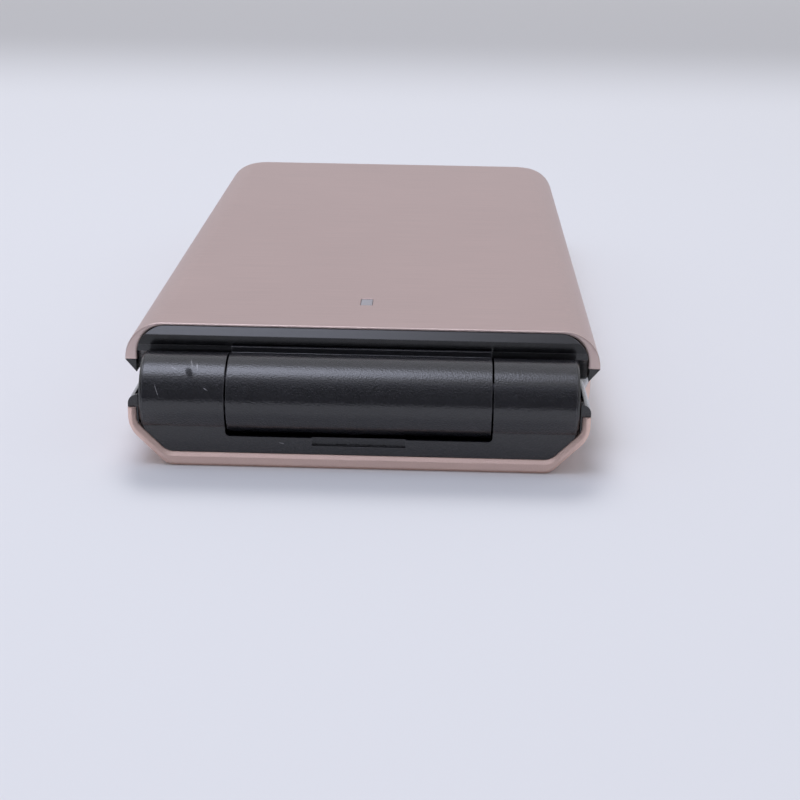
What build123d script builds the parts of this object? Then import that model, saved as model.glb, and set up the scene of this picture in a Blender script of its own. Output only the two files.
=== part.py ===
"""Flip phone, closed, lying on its back cover.

X runs across the phone, +Y from the hinge end to the far end, +Z up.
The origin is on the table under the middle of the closed phone.
All sizes are in millimetres.
"""
from build123d import *
from math import radians, sin, tan
import os

os.makedirs("parts", exist_ok=True)

# Overall envelope
length = 120.0
lid_width = 60.0
base_height = 9.0
lid_gap = 0.25
lid_thickness = 6.75
lid_overhang = 0.4
far_corner_radius = 7.0

# Hinge end of the base: the body narrows so that the ends of the lid's side walls pass beside it
neck_inset = 1.6
neck_length = 11.2
neck_flare = 5.0
frame_setback = 1.0
cover_setback = 0.45

# Battery cover: a tray with slanted lower corners
cover_drop = 1.6
cover_floor = 1.0
cover_side_wall = 1.0
cover_corner_wall = 1.2
cover_lip_height = 1.72
cover_lip_depth = 2.0
cover_edge_bevel = 0.45
neck_slant = 4.7
body_slant = 4.1
slant_angle = 45.0
slant_low_round = 2.0
slant_side_round = 3.5
lining_side_round = 1.6

# Base frame rim above the cover
rim_round = 1.1

# Hinge
hinge_drop = 0.9
barrel_radius = 5.1
barrel_inset = 1.85
knuckle_width = 32.5
knuckle_gap = 0.25
pocket_clearance = 0.4
pocket_front_drop = 4.25
pocket_front_depth = 1.5
pocket_corner_radius = 0.6
notch_width = 11.6
notch_height = 1.0
notch_depth = 0.4
hinge_cap_thickness = 0.4
hinge_cap_plug = 2.2
hinge_cap_bevel = 0.25
cap_slot_clearance = 0.2
neck_start = 1.6
neck_drop = 0.07
neck_lip_height = 0.32
neck_lip_length = 0.5
lid_clearance_radius = 5.45
ear_clearance = 0.2

# Hinge cartridge (right) and pivot sleeve (left)
case_radius = 3.7
case_wall = 0.5
case_start = 1.5
case_end_inset = 0.15
case_key_width = 1.2
case_key_height = 0.4
case_key_length = 9.0
shaft_radius = 1.0
shaft_head_radius = 3.1
shaft_head_flat = 5.2
shaft_head_gap = 0.6
shaft_tail = 0.3
follower_length = 2.8
spring_wire = 0.6
spring_turns = 6.0
sleeve_radius = 3.7
sleeve_wall = 0.7
sleeve_reach = 6.0
sleeve_end_gap = 0.2
running_gap = 0.05
cartridge_gap = 0.1

# Fits
fit_gap = 0.05
seat_gap = 0.1

# Lid cover and frame
cover_top_wall = 0.25
lid_side_wall = 1.5
shoulder_radius = 4.7
inner_shoulder_radius = 3.7
lid_setback = 3.4
lid_frame_height = 1.95
flange_slope = 1.6
lid_wall = 1.4
hinge_block_length = 7.5
lid_pocket_round = 1.5

# End trim: a bar with a bevelled front edge
trim_setback = 2.5
trim_height = 5.32
trim_depth = 3.0
trim_bevel = 0.95

# Status window in the lid cover
status_width = 1.5
status_length = 3.0
status_from_hinge = 11.7
status_depth = 0.8

# Display stack
glass_side_border = 4.4
glass_thickness = 0.8
glass_recess = 0.1
glass_corner = 3.5
glass_border = 3.6
ledge_thickness = 0.6
panel_side_border = 1.1
panel_camera_gap = 4.9
panel_thickness = 1.6
panel_offset = 3.2
bracket_margin = 1.0
bracket_far_border = 4.6
bracket_thickness = 0.4
bracket_hole = 6.0
bracket_hole_pitch = 18.0
lid_board_margin = 0.5
lid_board_length = 34.0
lid_board_thickness = 0.8
earpiece_width = 10.0
earpiece_depth = 4.6
earpiece_thickness = 2.2
earpiece_border = 8.2
mesh_width = 11.0
mesh_depth = 1.5
mesh_corner = 0.5
mesh_thickness = 0.5
front_camera_size = 6.0
front_camera_height = 3.6
front_camera_x = -15.0
front_camera_lens = 1.6

# Display flex
flex_thickness = 0.2
flex_roll_gap = 0.2
flex_roll_length = 15.0
flex_tail_width = 5.0
flex_tail_x = -6.5
flex_slot_gap = 0.3
flex_tail_end = 1.0

# Lid bumpers and screws
bumper_length = 6.0
bumper_width = 1.4
bumper_corner = 0.45
bumper_recess = 0.5
bumper_stand = 0.22
bumper_side_border = 10.0
bumper_far_border = 2.8
bumper_hinge_spread = 20.0
bumper_hinge_distance = 9.2
lid_screw_border = 8.0
lid_screw_distance = 8.4
screw_head_radius = 1.3
screw_head_height = 0.7
screw_shank_radius = 0.7
lid_screw_length = 3.2
screw_drive_radius = 0.45
screw_drive_depth = 0.4

# Keypad
plate_recess = 0.3
plate_thickness = 0.6
plate_border = 3.2
plate_hinge_distance = 8.9
plate_corner = 2.0
key_gap = 0.15
key_proud = 0.25
key_flange = 0.45
key_flange_height = 0.25
key_flange_gap = 0.1
key_edge_bevel = 0.15
key_side_border = 1.6
key_column_gap = 1.4
key_hinge_border = 13.2
key_far_border = 11.3
digit_row_gap = 1.8
digit_corner = 1.5
call_depth = 7.4
call_row_gap = 3.2
ring_width = 26.0
ring_depth = 22.0
ring_gap = 5.5
ring_corner = 7.0
ok_width = 10.0
ok_depth = 8.4
ok_corner = 3.0
soft_corner = 2.0
microphone_hole = 0.5
microphone_border = 4.6

# Main board and what it carries
board_drop = 2.6
board_thickness = 0.8
board_gap = 0.4
dome_sheet_thickness = 0.1
dome_radius = 2.2
dome_height = 0.12
dome_sheet_border = 0.5
web_thickness = 0.5
shield_width = 24.0
shield_depth = 7.6
shield_height = 0.7
shield_corner = 0.5
shield_hinge_border = 5.0

# Battery
battery_side_border = 7.1
battery_camera_distance = 7.6
battery_screw_gap = 4.0
battery_gap = 0.2
battery_corner = 1.5
bay_gap = 0.4
contact_width = 10.0
contact_depth = 1.8

# Hinge-side components
camera_size = 8.5
camera_side_border = 15.6
camera_hinge_distance = 13.3
camera_lens_radius = 3.4
camera_window_radius = 4.3
camera_window_thickness = 0.6
window_recess = 0.15
flash_spacing = 7.4
flash_radius = 1.4
sim_inner = 2.5
sim_screw_gap = 2.9
sim_depth = 10.0
sim_thickness = 1.4

# Far-end components
speaker_motor_gap = 1.0
speaker_side_border = 6.1
speaker_distance = 14.6
speaker_depth = 12.0
speaker_thickness = 3.2
speaker_slot_width = 1.0
speaker_slot_length = 8.0
speaker_slot_pitch = 2.6
speaker_slots = 5
motor_radius = 4.5
motor_thickness = 2.8
motor_distance = 17.6
usb_width = 7.5
usb_depth = 5.4
usb_height = 2.6
usb_corner = 0.65
usb_wall = 0.3
usb_tongue_thickness = 0.7
usb_tongue_width = 5.0
headset_bore_radius = 1.75
headset_ferrule_wall = 0.6
headset_depth = 12.0
headset_width = 6.2
headset_floor_gap = 0.8
headset_side_border = 12.6
socket_inset = 0.4

# Side keys
side_key_height = 1.6
side_key_drop = 2.7
side_key_distance = 34.9
volume_length = 18.0
power_length = 9.0
side_key_depth = 2.1
side_key_flange = 0.3
side_key_flange_thickness = 0.3
side_key_travel = 0.3
side_key_corner = 0.7

# Base screws: two at the hinge side, two past the battery, two at the far end
base_screw_gap = 0.2
hinge_screw_border = 9.2
hinge_screw_spacing = 4.0
middle_screw_border = 8.1
middle_screw_distance = 29.6
far_screw_side_border = 7.6
far_screw_border = 5.0

# Derived places
far_y = length / 2
lid_half = lid_width / 2
base_half = lid_half - lid_overhang
base_far_y = far_y - lid_overhang
neck_half = lid_half - neck_inset
hinge_y = -length / 2 + barrel_radius
hinge_height = base_height - hinge_drop
cover_height = base_height - cover_drop
pocket_front_height = hinge_height - pocket_front_drop
frame_face_y = -length / 2 + frame_setback
cover_face_y = -length / 2 + cover_setback
neck_end_y = -length / 2 + neck_length
body_start_y = neck_end_y + neck_flare
barrel_half = neck_half - barrel_inset
knuckle_half = knuckle_width / 2
seam_half = knuckle_half + knuckle_gap
lid_bottom = base_height + lid_gap
lid_top = lid_bottom + lid_thickness
lid_end_y = hinge_y + lid_setback
lid_cover_bottom = lid_bottom + lid_frame_height
frame_bottom = cover_lip_height + fit_gap
cheek_inner = barrel_half + hinge_cap_thickness + cap_slot_clearance
ear_inner = neck_half + ear_clearance
overlap = 1.0
hinge_point = (hinge_y, hinge_height)


def base_outline(height, inset, end_y):
    """Plan outline of the base, narrowed at the hinge end, round at the far corners."""
    neck = neck_half - inset
    body = base_half - inset
    with BuildSketch(Plane.XY.offset(height)) as outline:
        with BuildLine():
            Polyline(
                (neck, end_y),
                (neck, neck_end_y),
                (body, body_start_y),
                (body, base_far_y - inset),
                (-body, base_far_y - inset),
                (-body, body_start_y),
                (-neck, neck_end_y),
                (-neck, end_y),
                close=True,
            )
        make_face()
        fillet(outline.vertices().group_by(Axis.Y)[-1], far_corner_radius - inset)
    return outline.sketch


def hull_section(y, side, foot, low, high, low_round, side_round):
    """Section across the base: flat floor, slanted corner at 45 degrees, upright side."""
    half_turn = radians(slant_angle / 2)
    low_tangent = low_round * tan(half_turn)
    side_tangent = side_round * tan(half_turn)
    low_x = foot + low - low_tangent
    side_z = side - foot + side_tangent
    with BuildSketch(Plane.XZ.offset(-y)) as section:
        with BuildLine():
            Line((0, low), (low_x, low))
            low_arc = CenterArc((low_x, low + low_round), low_round, -90, slant_angle)
            side_arc = CenterArc((side - side_round, side_z), side_round, -slant_angle, slant_angle)
            Line(low_arc @ 1, side_arc @ 0)
            wall = Line(side_arc @ 1, (side, high))
            Line(wall @ 1, (0, high))
            mirror(about=Plane.YZ)
        make_face()
    return section.sketch


def base_hull(end_y, side_inset, corner_inset, low, high, low_round, side_round):
    """Body of the base between two heights, inset from the outer faces of the battery cover."""
    stations = (
        (end_y, neck_half, neck_slant),
        (neck_end_y, neck_half, neck_slant),
        (body_start_y, base_half, body_slant),
        (base_far_y + overlap, base_half, body_slant),
    )
    sections = []
    for y, half, slant in stations:
        foot = half - slant - corner_inset / sin(radians(slant_angle))
        side = half - side_inset
        sections.append(hull_section(y, side, foot, low, high, low_round, side_round))
    with BuildPart() as hull:
        loft(sections, ruled=True)
        add(base_prism(low, high, side_inset, end_y), mode=Mode.INTERSECT)
    return hull.part


def base_prism(low, high, inset, end_y):
    """Straight prism on the base outline."""
    with BuildPart() as prism:
        add(base_outline(low, inset, end_y))
        extrude(amount=high - low)
    return prism.part


def cover_zone():
    """Space that belongs to the battery cover round the hinge end of the frame."""
    end_y = -length / 2 - overlap
    top = cover_height + fit_gap
    with BuildPart() as zone:
        add(block((-lid_half, lid_half), (end_y, cavity_start), (-overlap, top)))
        add(
            base_hull(
                end_y - overlap,
                cover_side_wall + fit_gap,
                cover_corner_wall + fit_gap,
                frame_bottom,
                top + overlap,
                slant_low_round,
                lining_side_round,
            ),
            mode=Mode.SUBTRACT,
        )
    return zone.part


def lid_outline(height, inset, end_y, corner_radius):
    """Plan outline of the lid, square at the hinge end, round at the far corners."""
    depth = far_y - inset - end_y
    with BuildSketch(Plane.XY.offset(height)) as outline:
        with Locations((0, end_y + depth / 2)):
            Rectangle(lid_width - 2 * inset, depth)
        fillet(outline.vertices().group_by(Axis.Y)[-1], corner_radius)
    return outline.sketch


def lid_shell(low, high, inset, end_y, edge_radius):
    """Upper body of the lid with round shoulders on its sides and far end."""
    with BuildPart() as shell:
        add(lid_outline(low, inset, end_y, far_corner_radius - inset))
        extrude(amount=high - low)
        top_edges = shell.faces().sort_by(Axis.Z)[-1].edges().sort_by(Axis.Y)
        fillet(top_edges[1:], edge_radius)
    return shell.part


def across(radius, start_x, end_x):
    """Round bar about the hinge axis between two places across the phone."""
    with BuildPart() as bar:
        with BuildSketch(Plane.YZ.offset(start_x)):
            with Locations(hinge_point):
                Circle(radius)
        extrude(amount=end_x - start_x)
    return bar.part


def block(x_range, y_range, z_range, corner=0):
    """Straight block between two places along each axis, with upright corners rounded if asked."""
    width = x_range[1] - x_range[0]
    depth = y_range[1] - y_range[0]
    with BuildPart() as box:
        with BuildSketch(Plane.XY.offset(z_range[0])):
            with Locations(((x_range[0] + x_range[1]) / 2, (y_range[0] + y_range[1]) / 2)):
                if corner > 0:
                    RectangleRounded(width, depth, corner)
                else:
                    Rectangle(width, depth)
        extrude(amount=z_range[1] - z_range[0])
    return box.part


def around(x, y, width, depth, low, high, corner=0):
    """Block about a place in plan."""
    return block((x - width / 2, x + width / 2), (y - depth / 2, y + depth / 2), (low, high), corner)


def disc(x, y, radius, low, high):
    """Upright round bar."""
    with BuildPart() as bar:
        with BuildSketch(Plane.XY.offset(low)):
            with Locations((x, y)):
                Circle(radius)
        extrude(amount=high - low)
    return bar.part


def screw(x, y, seat, direction, shank_length):
    """Small machine screw with a pan head and a round driver socket, driven along +Z or -Z."""
    head_low = min(seat, seat - direction * screw_head_height)
    shank_low = min(seat, seat + direction * shank_length)
    head_top = seat - direction * screw_head_height
    drive_low = min(head_top, head_top + direction * screw_drive_depth)
    with BuildPart() as fastener:
        add(disc(x, y, screw_head_radius, head_low, head_low + screw_head_height))
        add(disc(x, y, screw_shank_radius, shank_low, shank_low + shank_length))
        add(disc(x, y, screw_drive_radius, drive_low, drive_low + screw_drive_depth), mode=Mode.SUBTRACT)
    return fastener.part


def finish(part, name):
    """Label a piece and write it."""
    part.label = name
    export_step(part, f"parts/{name}.step")


# Places inside the base
plate_top = base_height - plate_recess
plate_bottom = plate_top - plate_thickness
key_top = plate_top + key_proud
key_flange_top = plate_bottom - key_flange_gap
key_bottom = key_flange_top - key_flange_height
board_seat = base_height - board_drop
board_top = board_seat + board_thickness
cavity_half = base_half - plate_border
cavity_start = hinge_y + plate_hinge_distance
cavity_end = base_far_y - plate_border
keypad_half = cavity_half - key_side_border
keypad_start = cavity_start + key_hinge_border
keypad_end = cavity_end - key_far_border
ring_y = keypad_start + ring_depth / 2
call_y = keypad_start + ring_depth + ring_gap + call_depth / 2
digits_start = call_y + call_depth / 2 + call_row_gap
digit_width = (2 * keypad_half - 2 * key_column_gap) / 3
digit_depth = (keypad_end - digits_start - 3 * digit_row_gap) / 4
digit_pitch_x = digit_width + key_column_gap
digit_pitch_y = digit_depth + digit_row_gap
soft_width = keypad_half - ring_width / 2 - key_column_gap
soft_x = keypad_half - soft_width / 2

# Keys: name, place in plan, size in plan and corner radius
keys = []
digit_names = (
    ("key_1", "key_2", "key_3"),
    ("key_4", "key_5", "key_6"),
    ("key_7", "key_8", "key_9"),
    ("key_star", "key_0", "key_hash"),
)
for row, names in enumerate(digit_names):
    for column, name in enumerate(names):
        x = (1 - column) * digit_pitch_x
        y = digits_start + digit_depth / 2 + row * digit_pitch_y
        keys.append((name, x, y, digit_width, digit_depth, digit_corner))
for column, name in enumerate(("call_key", "clear_key", "end_key")):
    keys.append((name, (1 - column) * digit_pitch_x, call_y, digit_width, call_depth, digit_corner))
keys.append(("left_soft_key", soft_x, ring_y, soft_width, ring_depth, soft_corner))
keys.append(("right_soft_key", -soft_x, ring_y, soft_width, ring_depth, soft_corner))
ring_key = ("navigation_ring", 0, ring_y, ring_width, ring_depth, ring_corner)
ok_key = ("ok_key", 0, ring_y, ok_width, ok_depth, ok_corner)

camera_x = -base_half + camera_side_border
camera_y = hinge_y + camera_hinge_distance
flash_x = camera_x + flash_spacing
hinge_screw_x = base_half - hinge_screw_border
middle_screw_y = base_far_y - middle_screw_distance
sim_width = hinge_screw_x - sim_screw_gap - sim_inner
sim_x = sim_inner + sim_width / 2
speaker_inner = motor_radius + speaker_motor_gap
speaker_width = base_half - speaker_side_border - speaker_inner
speaker_x = speaker_inner + speaker_width / 2
speaker_y = base_far_y - speaker_distance
motor_y = base_far_y - motor_distance
headset_x = -base_half + headset_side_border
headset_height = board_seat - cover_floor - headset_floor_gap
battery_start = camera_y + battery_camera_distance
battery_end = middle_screw_y - battery_screw_gap
battery_length = battery_end - battery_start
battery_y = (battery_start + battery_end) / 2
battery_width = 2 * (base_half - battery_side_border)
battery_low = cover_floor + battery_gap
battery_thickness = board_seat - web_thickness - seat_gap - battery_low
side_key_y = hinge_y + side_key_distance
side_key_z = base_height - side_key_drop
base_screw_length = board_seat - frame_bottom - screw_head_height - base_screw_gap
screw_places = (
    (hinge_screw_x, camera_y + hinge_screw_spacing),
    (base_half - middle_screw_border, middle_screw_y),
    (base_half - far_screw_side_border, base_far_y - far_screw_border),
)
side_keys = (("volume_key", -1, volume_length), ("power_key", 1, power_length))
socket_y = base_far_y - socket_inset
usb_z = board_seat - usb_height / 2
headset_z = board_seat - headset_height / 2
microphone_y = cavity_end - microphone_border
cover_room = cover_zone()


def side_block(side, outer, inner, half_length, half_height, corner=0):
    """Block through a side wall about the middle of the side keys."""
    width = abs(outer - inner)
    with BuildPart() as box:
        with BuildSketch(Plane.YZ.offset(min(side * outer, side * inner))):
            with Locations((side_key_y, side_key_z)):
                if corner > 0:
                    RectangleRounded(2 * half_length, 2 * half_height, corner)
                else:
                    Rectangle(2 * half_length, 2 * half_height)
        extrude(amount=width)
    return box.part


# Battery cover: pressed metal tray that wraps the back and the sides of the base
with BuildPart() as battery_cover:
    add(base_hull(cover_face_y, 0, 0, 0, cover_height, slant_low_round, slant_side_round))
    add(
        base_hull(
            cover_face_y - overlap,
            cover_side_wall,
            cover_corner_wall,
            cover_lip_height,
            cover_height + overlap,
            slant_low_round,
            lining_side_round,
        ),
        mode=Mode.SUBTRACT,
    )
    add(
        base_hull(
            cover_face_y + cover_lip_depth,
            cover_side_wall,
            cover_corner_wall,
            cover_floor,
            cover_height,
            slant_low_round,
            lining_side_round,
        ),
        mode=Mode.SUBTRACT,
    )
    end_face = battery_cover.faces().sort_by(Axis.Y)[0]
    inner_edges = end_face.edges().filter_by_position(Axis.Z, cover_lip_height, cover_height - seat_gap)
    chamfer(inner_edges.filter_by_position(Axis.X, -cheek_inner, cheek_inner), cover_edge_bevel)
    add(
        disc(camera_x, camera_y, camera_window_radius + fit_gap, -overlap, cover_floor + overlap),
        mode=Mode.SUBTRACT,
    )
    add(
        disc(flash_x, camera_y, flash_radius + fit_gap, -overlap, cover_floor + overlap),
        mode=Mode.SUBTRACT,
    )
    for slot in range(speaker_slots):
        slot_x = speaker_x + (slot - (speaker_slots - 1) / 2) * speaker_slot_pitch
        add(
            around(
                slot_x,
                speaker_y,
                speaker_slot_width,
                speaker_slot_length,
                -overlap,
                cover_floor + overlap,
            ),
            mode=Mode.SUBTRACT,
        )
    with BuildSketch(Plane.XZ.offset(-base_far_y - overlap)):
        with Locations((0, usb_z)):
            RectangleRounded(usb_width + 2 * seat_gap, usb_height + 2 * seat_gap, usb_corner + seat_gap)
        with Locations((headset_x, headset_z)):
            Circle(headset_bore_radius + headset_ferrule_wall + seat_gap)
    extrude(amount=2 * overlap + cover_side_wall, mode=Mode.SUBTRACT)
    for name, side, key_length in side_keys:
        add(
            side_block(
                side,
                base_half + overlap,
                base_half - 2 * cover_side_wall,
                key_length / 2 + key_gap,
                side_key_height / 2 + key_gap,
                side_key_corner,
            ),
            mode=Mode.SUBTRACT,
        )
finish(battery_cover.part, "battery_cover")

# Base frame: moulded chassis with the outer hinge barrels, the rim and the pockets for every component
with BuildPart() as base_rim:
    add(base_prism(cover_height + fit_gap, base_height, 0, frame_face_y - rim_round))
    fillet(base_rim.faces().sort_by(Axis.Z)[-1].edges(), rim_round)

with BuildPart() as base_frame:
    add(
        base_hull(
            frame_face_y,
            cover_side_wall + fit_gap,
            cover_corner_wall + fit_gap,
            frame_bottom,
            cover_height + fit_gap,
            slant_low_round,
            lining_side_round,
        )
    )
    add(base_rim.part)
    add(
        block((-lid_half, lid_half), (frame_face_y - 2 * rim_round, frame_face_y), (0, base_height + overlap)),
        mode=Mode.SUBTRACT,
    )
    for side in (-1, 1):
        add(across(barrel_radius, side * seam_half, side * barrel_half))
    add(cover_room, mode=Mode.SUBTRACT)
    # Pocket that the lid's knuckle turns in
    add(across(barrel_radius + pocket_clearance, -seam_half, seam_half), mode=Mode.SUBTRACT)
    with BuildSketch(Plane.XZ.offset(-frame_face_y - pocket_front_depth)):
        with Locations((0, pocket_front_height + base_height / 2)):
            RectangleRounded(2 * seam_half, base_height, pocket_corner_radius)
    extrude(amount=pocket_front_depth + overlap, mode=Mode.SUBTRACT)
    add(
        block(
            (-notch_width / 2, notch_width / 2),
            (frame_face_y - overlap, frame_face_y + notch_depth),
            (pocket_front_height - notch_height, pocket_front_height + overlap),
        ),
        mode=Mode.SUBTRACT,
    )
    # Slots for the hinge caps, and the bores of the two barrels
    for side in (-1, 1):
        add(
            across(barrel_radius + cap_slot_clearance, side * barrel_half, side * cheek_inner),
            mode=Mode.SUBTRACT,
        )
    add(across(sleeve_radius + fit_gap, -barrel_half - overlap, -seam_half + overlap), mode=Mode.SUBTRACT)
    with BuildSketch(Plane.YZ.offset(seam_half - overlap)):
        with Locations(hinge_point):
            Circle(shaft_head_radius + fit_gap)
            Rectangle(2 * case_radius, shaft_head_flat + 2 * fit_gap, mode=Mode.INTERSECT)
    extrude(amount=barrel_half - seam_half + 2 * overlap, mode=Mode.SUBTRACT)
    # Cavity under the keypad plate
    add(
        block(
            (-cavity_half, cavity_half),
            (cavity_start, cavity_end),
            (board_seat, base_height + overlap),
            plate_corner,
        ),
        mode=Mode.SUBTRACT,
    )
    # Battery bay, open to the back, closed above by a web
    add(
        around(
            0,
            battery_y,
            battery_width + 2 * bay_gap,
            battery_length + 2 * bay_gap,
            0,
            board_seat - web_thickness,
            battery_corner,
        ),
        mode=Mode.SUBTRACT,
    )
    contact_y = battery_y - battery_length / 2 - bay_gap - contact_depth / 2
    add(
        around(
            0,
            contact_y,
            contact_width + 2 * seat_gap,
            contact_depth + 2 * seat_gap,
            0,
            board_seat + overlap,
        ),
        mode=Mode.SUBTRACT,
    )
    # Pockets of the parts that hang under the board
    add(
        around(
            camera_x,
            camera_y,
            camera_size + 2 * seat_gap,
            camera_size + 2 * seat_gap,
            0,
            board_seat + overlap,
        ),
        mode=Mode.SUBTRACT,
    )
    add(disc(flash_x, camera_y, flash_radius + seat_gap, 0, board_seat + overlap), mode=Mode.SUBTRACT)
    add(
        around(
            sim_x,
            camera_y,
            sim_width + 2 * seat_gap,
            sim_depth + 2 * seat_gap,
            0,
            board_seat + overlap,
        ),
        mode=Mode.SUBTRACT,
    )
    add(
        around(
            speaker_x,
            speaker_y,
            speaker_width + 2 * seat_gap,
            speaker_depth + 2 * seat_gap,
            0,
            board_seat - web_thickness,
        ),
        mode=Mode.SUBTRACT,
    )
    add(disc(0, motor_y, motor_radius + seat_gap, 0, board_seat + overlap), mode=Mode.SUBTRACT)
    add(
        block(
            (-usb_width / 2 - seat_gap, usb_width / 2 + seat_gap),
            (socket_y - usb_depth - seat_gap, base_far_y + overlap),
            (board_seat - usb_height - seat_gap, board_seat + seat_gap),
        ),
        mode=Mode.SUBTRACT,
    )
    add(
        block(
            (headset_x - headset_width / 2 - seat_gap, headset_x + headset_width / 2 + seat_gap),
            (socket_y - headset_depth - cover_side_wall - seat_gap, base_far_y + overlap),
            (0, board_seat + seat_gap),
        ),
        mode=Mode.SUBTRACT,
    )
    # Screw seats
    for place_x, place_y in screw_places:
        for side in (-1, 1):
            seat = frame_bottom + screw_head_height
            add(disc(side * place_x, place_y, screw_head_radius + seat_gap, 0, seat), mode=Mode.SUBTRACT)
            add(
                disc(side * place_x, place_y, screw_shank_radius + fit_gap, seat, seat + base_screw_length),
                mode=Mode.SUBTRACT,
            )
    # Recesses of the side keys
    for name, side, key_length in side_keys:
        add(
            side_block(
                side,
                base_half,
                base_half + lid_overhang - side_key_depth - side_key_travel - key_gap,
                key_length / 2 + side_key_flange + key_gap,
                side_key_height / 2 + side_key_flange + key_gap,
            ),
            mode=Mode.SUBTRACT,
        )
finish(base_frame.part, "base_frame")

# Keypad plate with one opening for each key
with BuildPart() as keypad_plate:
    add(
        block(
            (-cavity_half + fit_gap, cavity_half - fit_gap),
            (cavity_start + fit_gap, cavity_end - fit_gap),
            (plate_bottom, plate_top),
            plate_corner,
        )
    )
    for name, x, y, width, depth, corner in keys + [ring_key]:
        add(
            around(
                x,
                y,
                width + 2 * key_gap,
                depth + 2 * key_gap,
                plate_bottom - overlap,
                plate_top + overlap,
                corner + key_gap,
            ),
            mode=Mode.SUBTRACT,
        )
    add(
        disc(0, microphone_y, microphone_hole, plate_bottom - overlap, plate_top + overlap),
        mode=Mode.SUBTRACT,
    )
finish(keypad_plate.part, "keypad_plate")

# Keys: a cap in the plate's opening and a flange under the plate
for name, x, y, width, depth, corner in keys + [ok_key]:
    with BuildPart() as key:
        add(around(x, y, width, depth, key_bottom, key_top, corner))
        chamfer(key.faces().sort_by(Axis.Z)[-1].edges(), key_edge_bevel)
        if name != "ok_key":
            add(
                around(
                    x,
                    y,
                    width + 2 * key_flange,
                    depth + 2 * key_flange,
                    key_bottom,
                    key_flange_top,
                    corner + key_flange,
                )
            )
    finish(key.part, name)

# Navigation ring round the OK key
with BuildPart() as navigation_ring:
    add(around(0, ring_y, ring_width, ring_depth, key_bottom, key_top, ring_corner))
    chamfer(navigation_ring.faces().sort_by(Axis.Z)[-1].edges(), key_edge_bevel)
    add(
        around(
            0,
            ring_y,
            ring_width + 2 * key_flange,
            ring_depth + 2 * key_flange,
            key_bottom,
            key_flange_top,
            ring_corner + key_flange,
        )
    )
    add(
        around(
            0,
            ring_y,
            ok_width + 2 * key_gap,
            ok_depth + 2 * key_gap,
            key_bottom - overlap,
            key_top + overlap,
            ok_corner + key_gap,
        ),
        mode=Mode.SUBTRACT,
    )
finish(navigation_ring.part, "navigation_ring")

# Side keys: a cap through the battery cover's wall and a flange behind it
for name, side, key_length in side_keys:
    outer = base_half + lid_overhang
    flange_outer = base_half - cover_side_wall - 2 * key_gap
    with BuildPart() as side_key:
        add(
            side_block(
                side, outer, outer - side_key_depth, key_length / 2, side_key_height / 2, side_key_corner
            )
        )
        add(
            side_block(
                side,
                flange_outer,
                flange_outer - side_key_flange_thickness,
                key_length / 2 + side_key_flange,
                side_key_height / 2 + side_key_flange,
            )
        )
    finish(side_key.part, name)

# Main board on the frame's web, with its shield can and the dome sheet
with BuildPart() as main_board:
    add(
        block(
            (-cavity_half + board_gap, cavity_half - board_gap),
            (cavity_start + board_gap, cavity_end - board_gap),
            (board_seat, board_top),
            plate_corner,
        )
    )
finish(main_board.part, "main_board")

with BuildPart() as shield_can:
    add(
        around(
            0,
            cavity_start + shield_hinge_border,
            shield_width,
            shield_depth,
            board_top,
            board_top + shield_height,
            shield_corner,
        ),
    )
finish(shield_can.part, "shield_can")

with BuildPart() as dome_sheet:
    sheet_top = board_top + dome_sheet_thickness
    add(
        block(
            (-cavity_half + dome_sheet_border, cavity_half - dome_sheet_border),
            (keypad_start, keypad_end),
            (board_top, sheet_top),
            plate_corner,
        )
    )
    for name, x, y, width, depth, corner in keys + [ok_key]:
        add(disc(x, y, dome_radius, sheet_top, sheet_top + dome_height))
finish(dome_sheet.part, "dome_sheet")

# Battery pack and its spring contacts
with BuildPart() as battery_pack:
    add(
        around(
            0,
            battery_y,
            battery_width,
            battery_length,
            battery_low,
            battery_low + battery_thickness,
            battery_corner,
        ),
    )
finish(battery_pack.part, "battery_pack")

with BuildPart() as battery_contacts:
    add(around(0, contact_y, contact_width, contact_depth, frame_bottom, board_seat))
finish(battery_contacts.part, "battery_contacts")

# Rear camera, its window and the flash window
with BuildPart() as rear_camera:
    add(around(camera_x, camera_y, camera_size, camera_size, cover_floor + 2 * seat_gap, board_seat))
    add(
        disc(
            camera_x,
            camera_y,
            camera_lens_radius,
            window_recess + camera_window_thickness + fit_gap,
            cover_floor + 2 * seat_gap,
        )
    )
finish(rear_camera.part, "rear_camera")

with BuildPart() as camera_window:
    add(
        disc(
            camera_x,
            camera_y,
            camera_window_radius,
            window_recess,
            window_recess + camera_window_thickness,
        ),
    )
finish(camera_window.part, "camera_window")

with BuildPart() as flash_window:
    add(disc(flash_x, camera_y, flash_radius, window_recess, board_seat))
finish(flash_window.part, "flash_window")

# Card reader, loudspeaker and vibration motor
with BuildPart() as card_reader:
    add(around(sim_x, camera_y, sim_width, sim_depth, board_seat - sim_thickness, board_seat))
finish(card_reader.part, "card_reader")

with BuildPart() as loudspeaker:
    speaker_top = board_seat - web_thickness
    add(
        around(
            speaker_x,
            speaker_y,
            speaker_width,
            speaker_depth,
            speaker_top - speaker_thickness,
            speaker_top,
        ),
    )
finish(loudspeaker.part, "loudspeaker")

with BuildPart() as vibration_motor:
    add(disc(0, motor_y, motor_radius, board_seat - motor_thickness, board_seat))
finish(vibration_motor.part, "vibration_motor")

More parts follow.
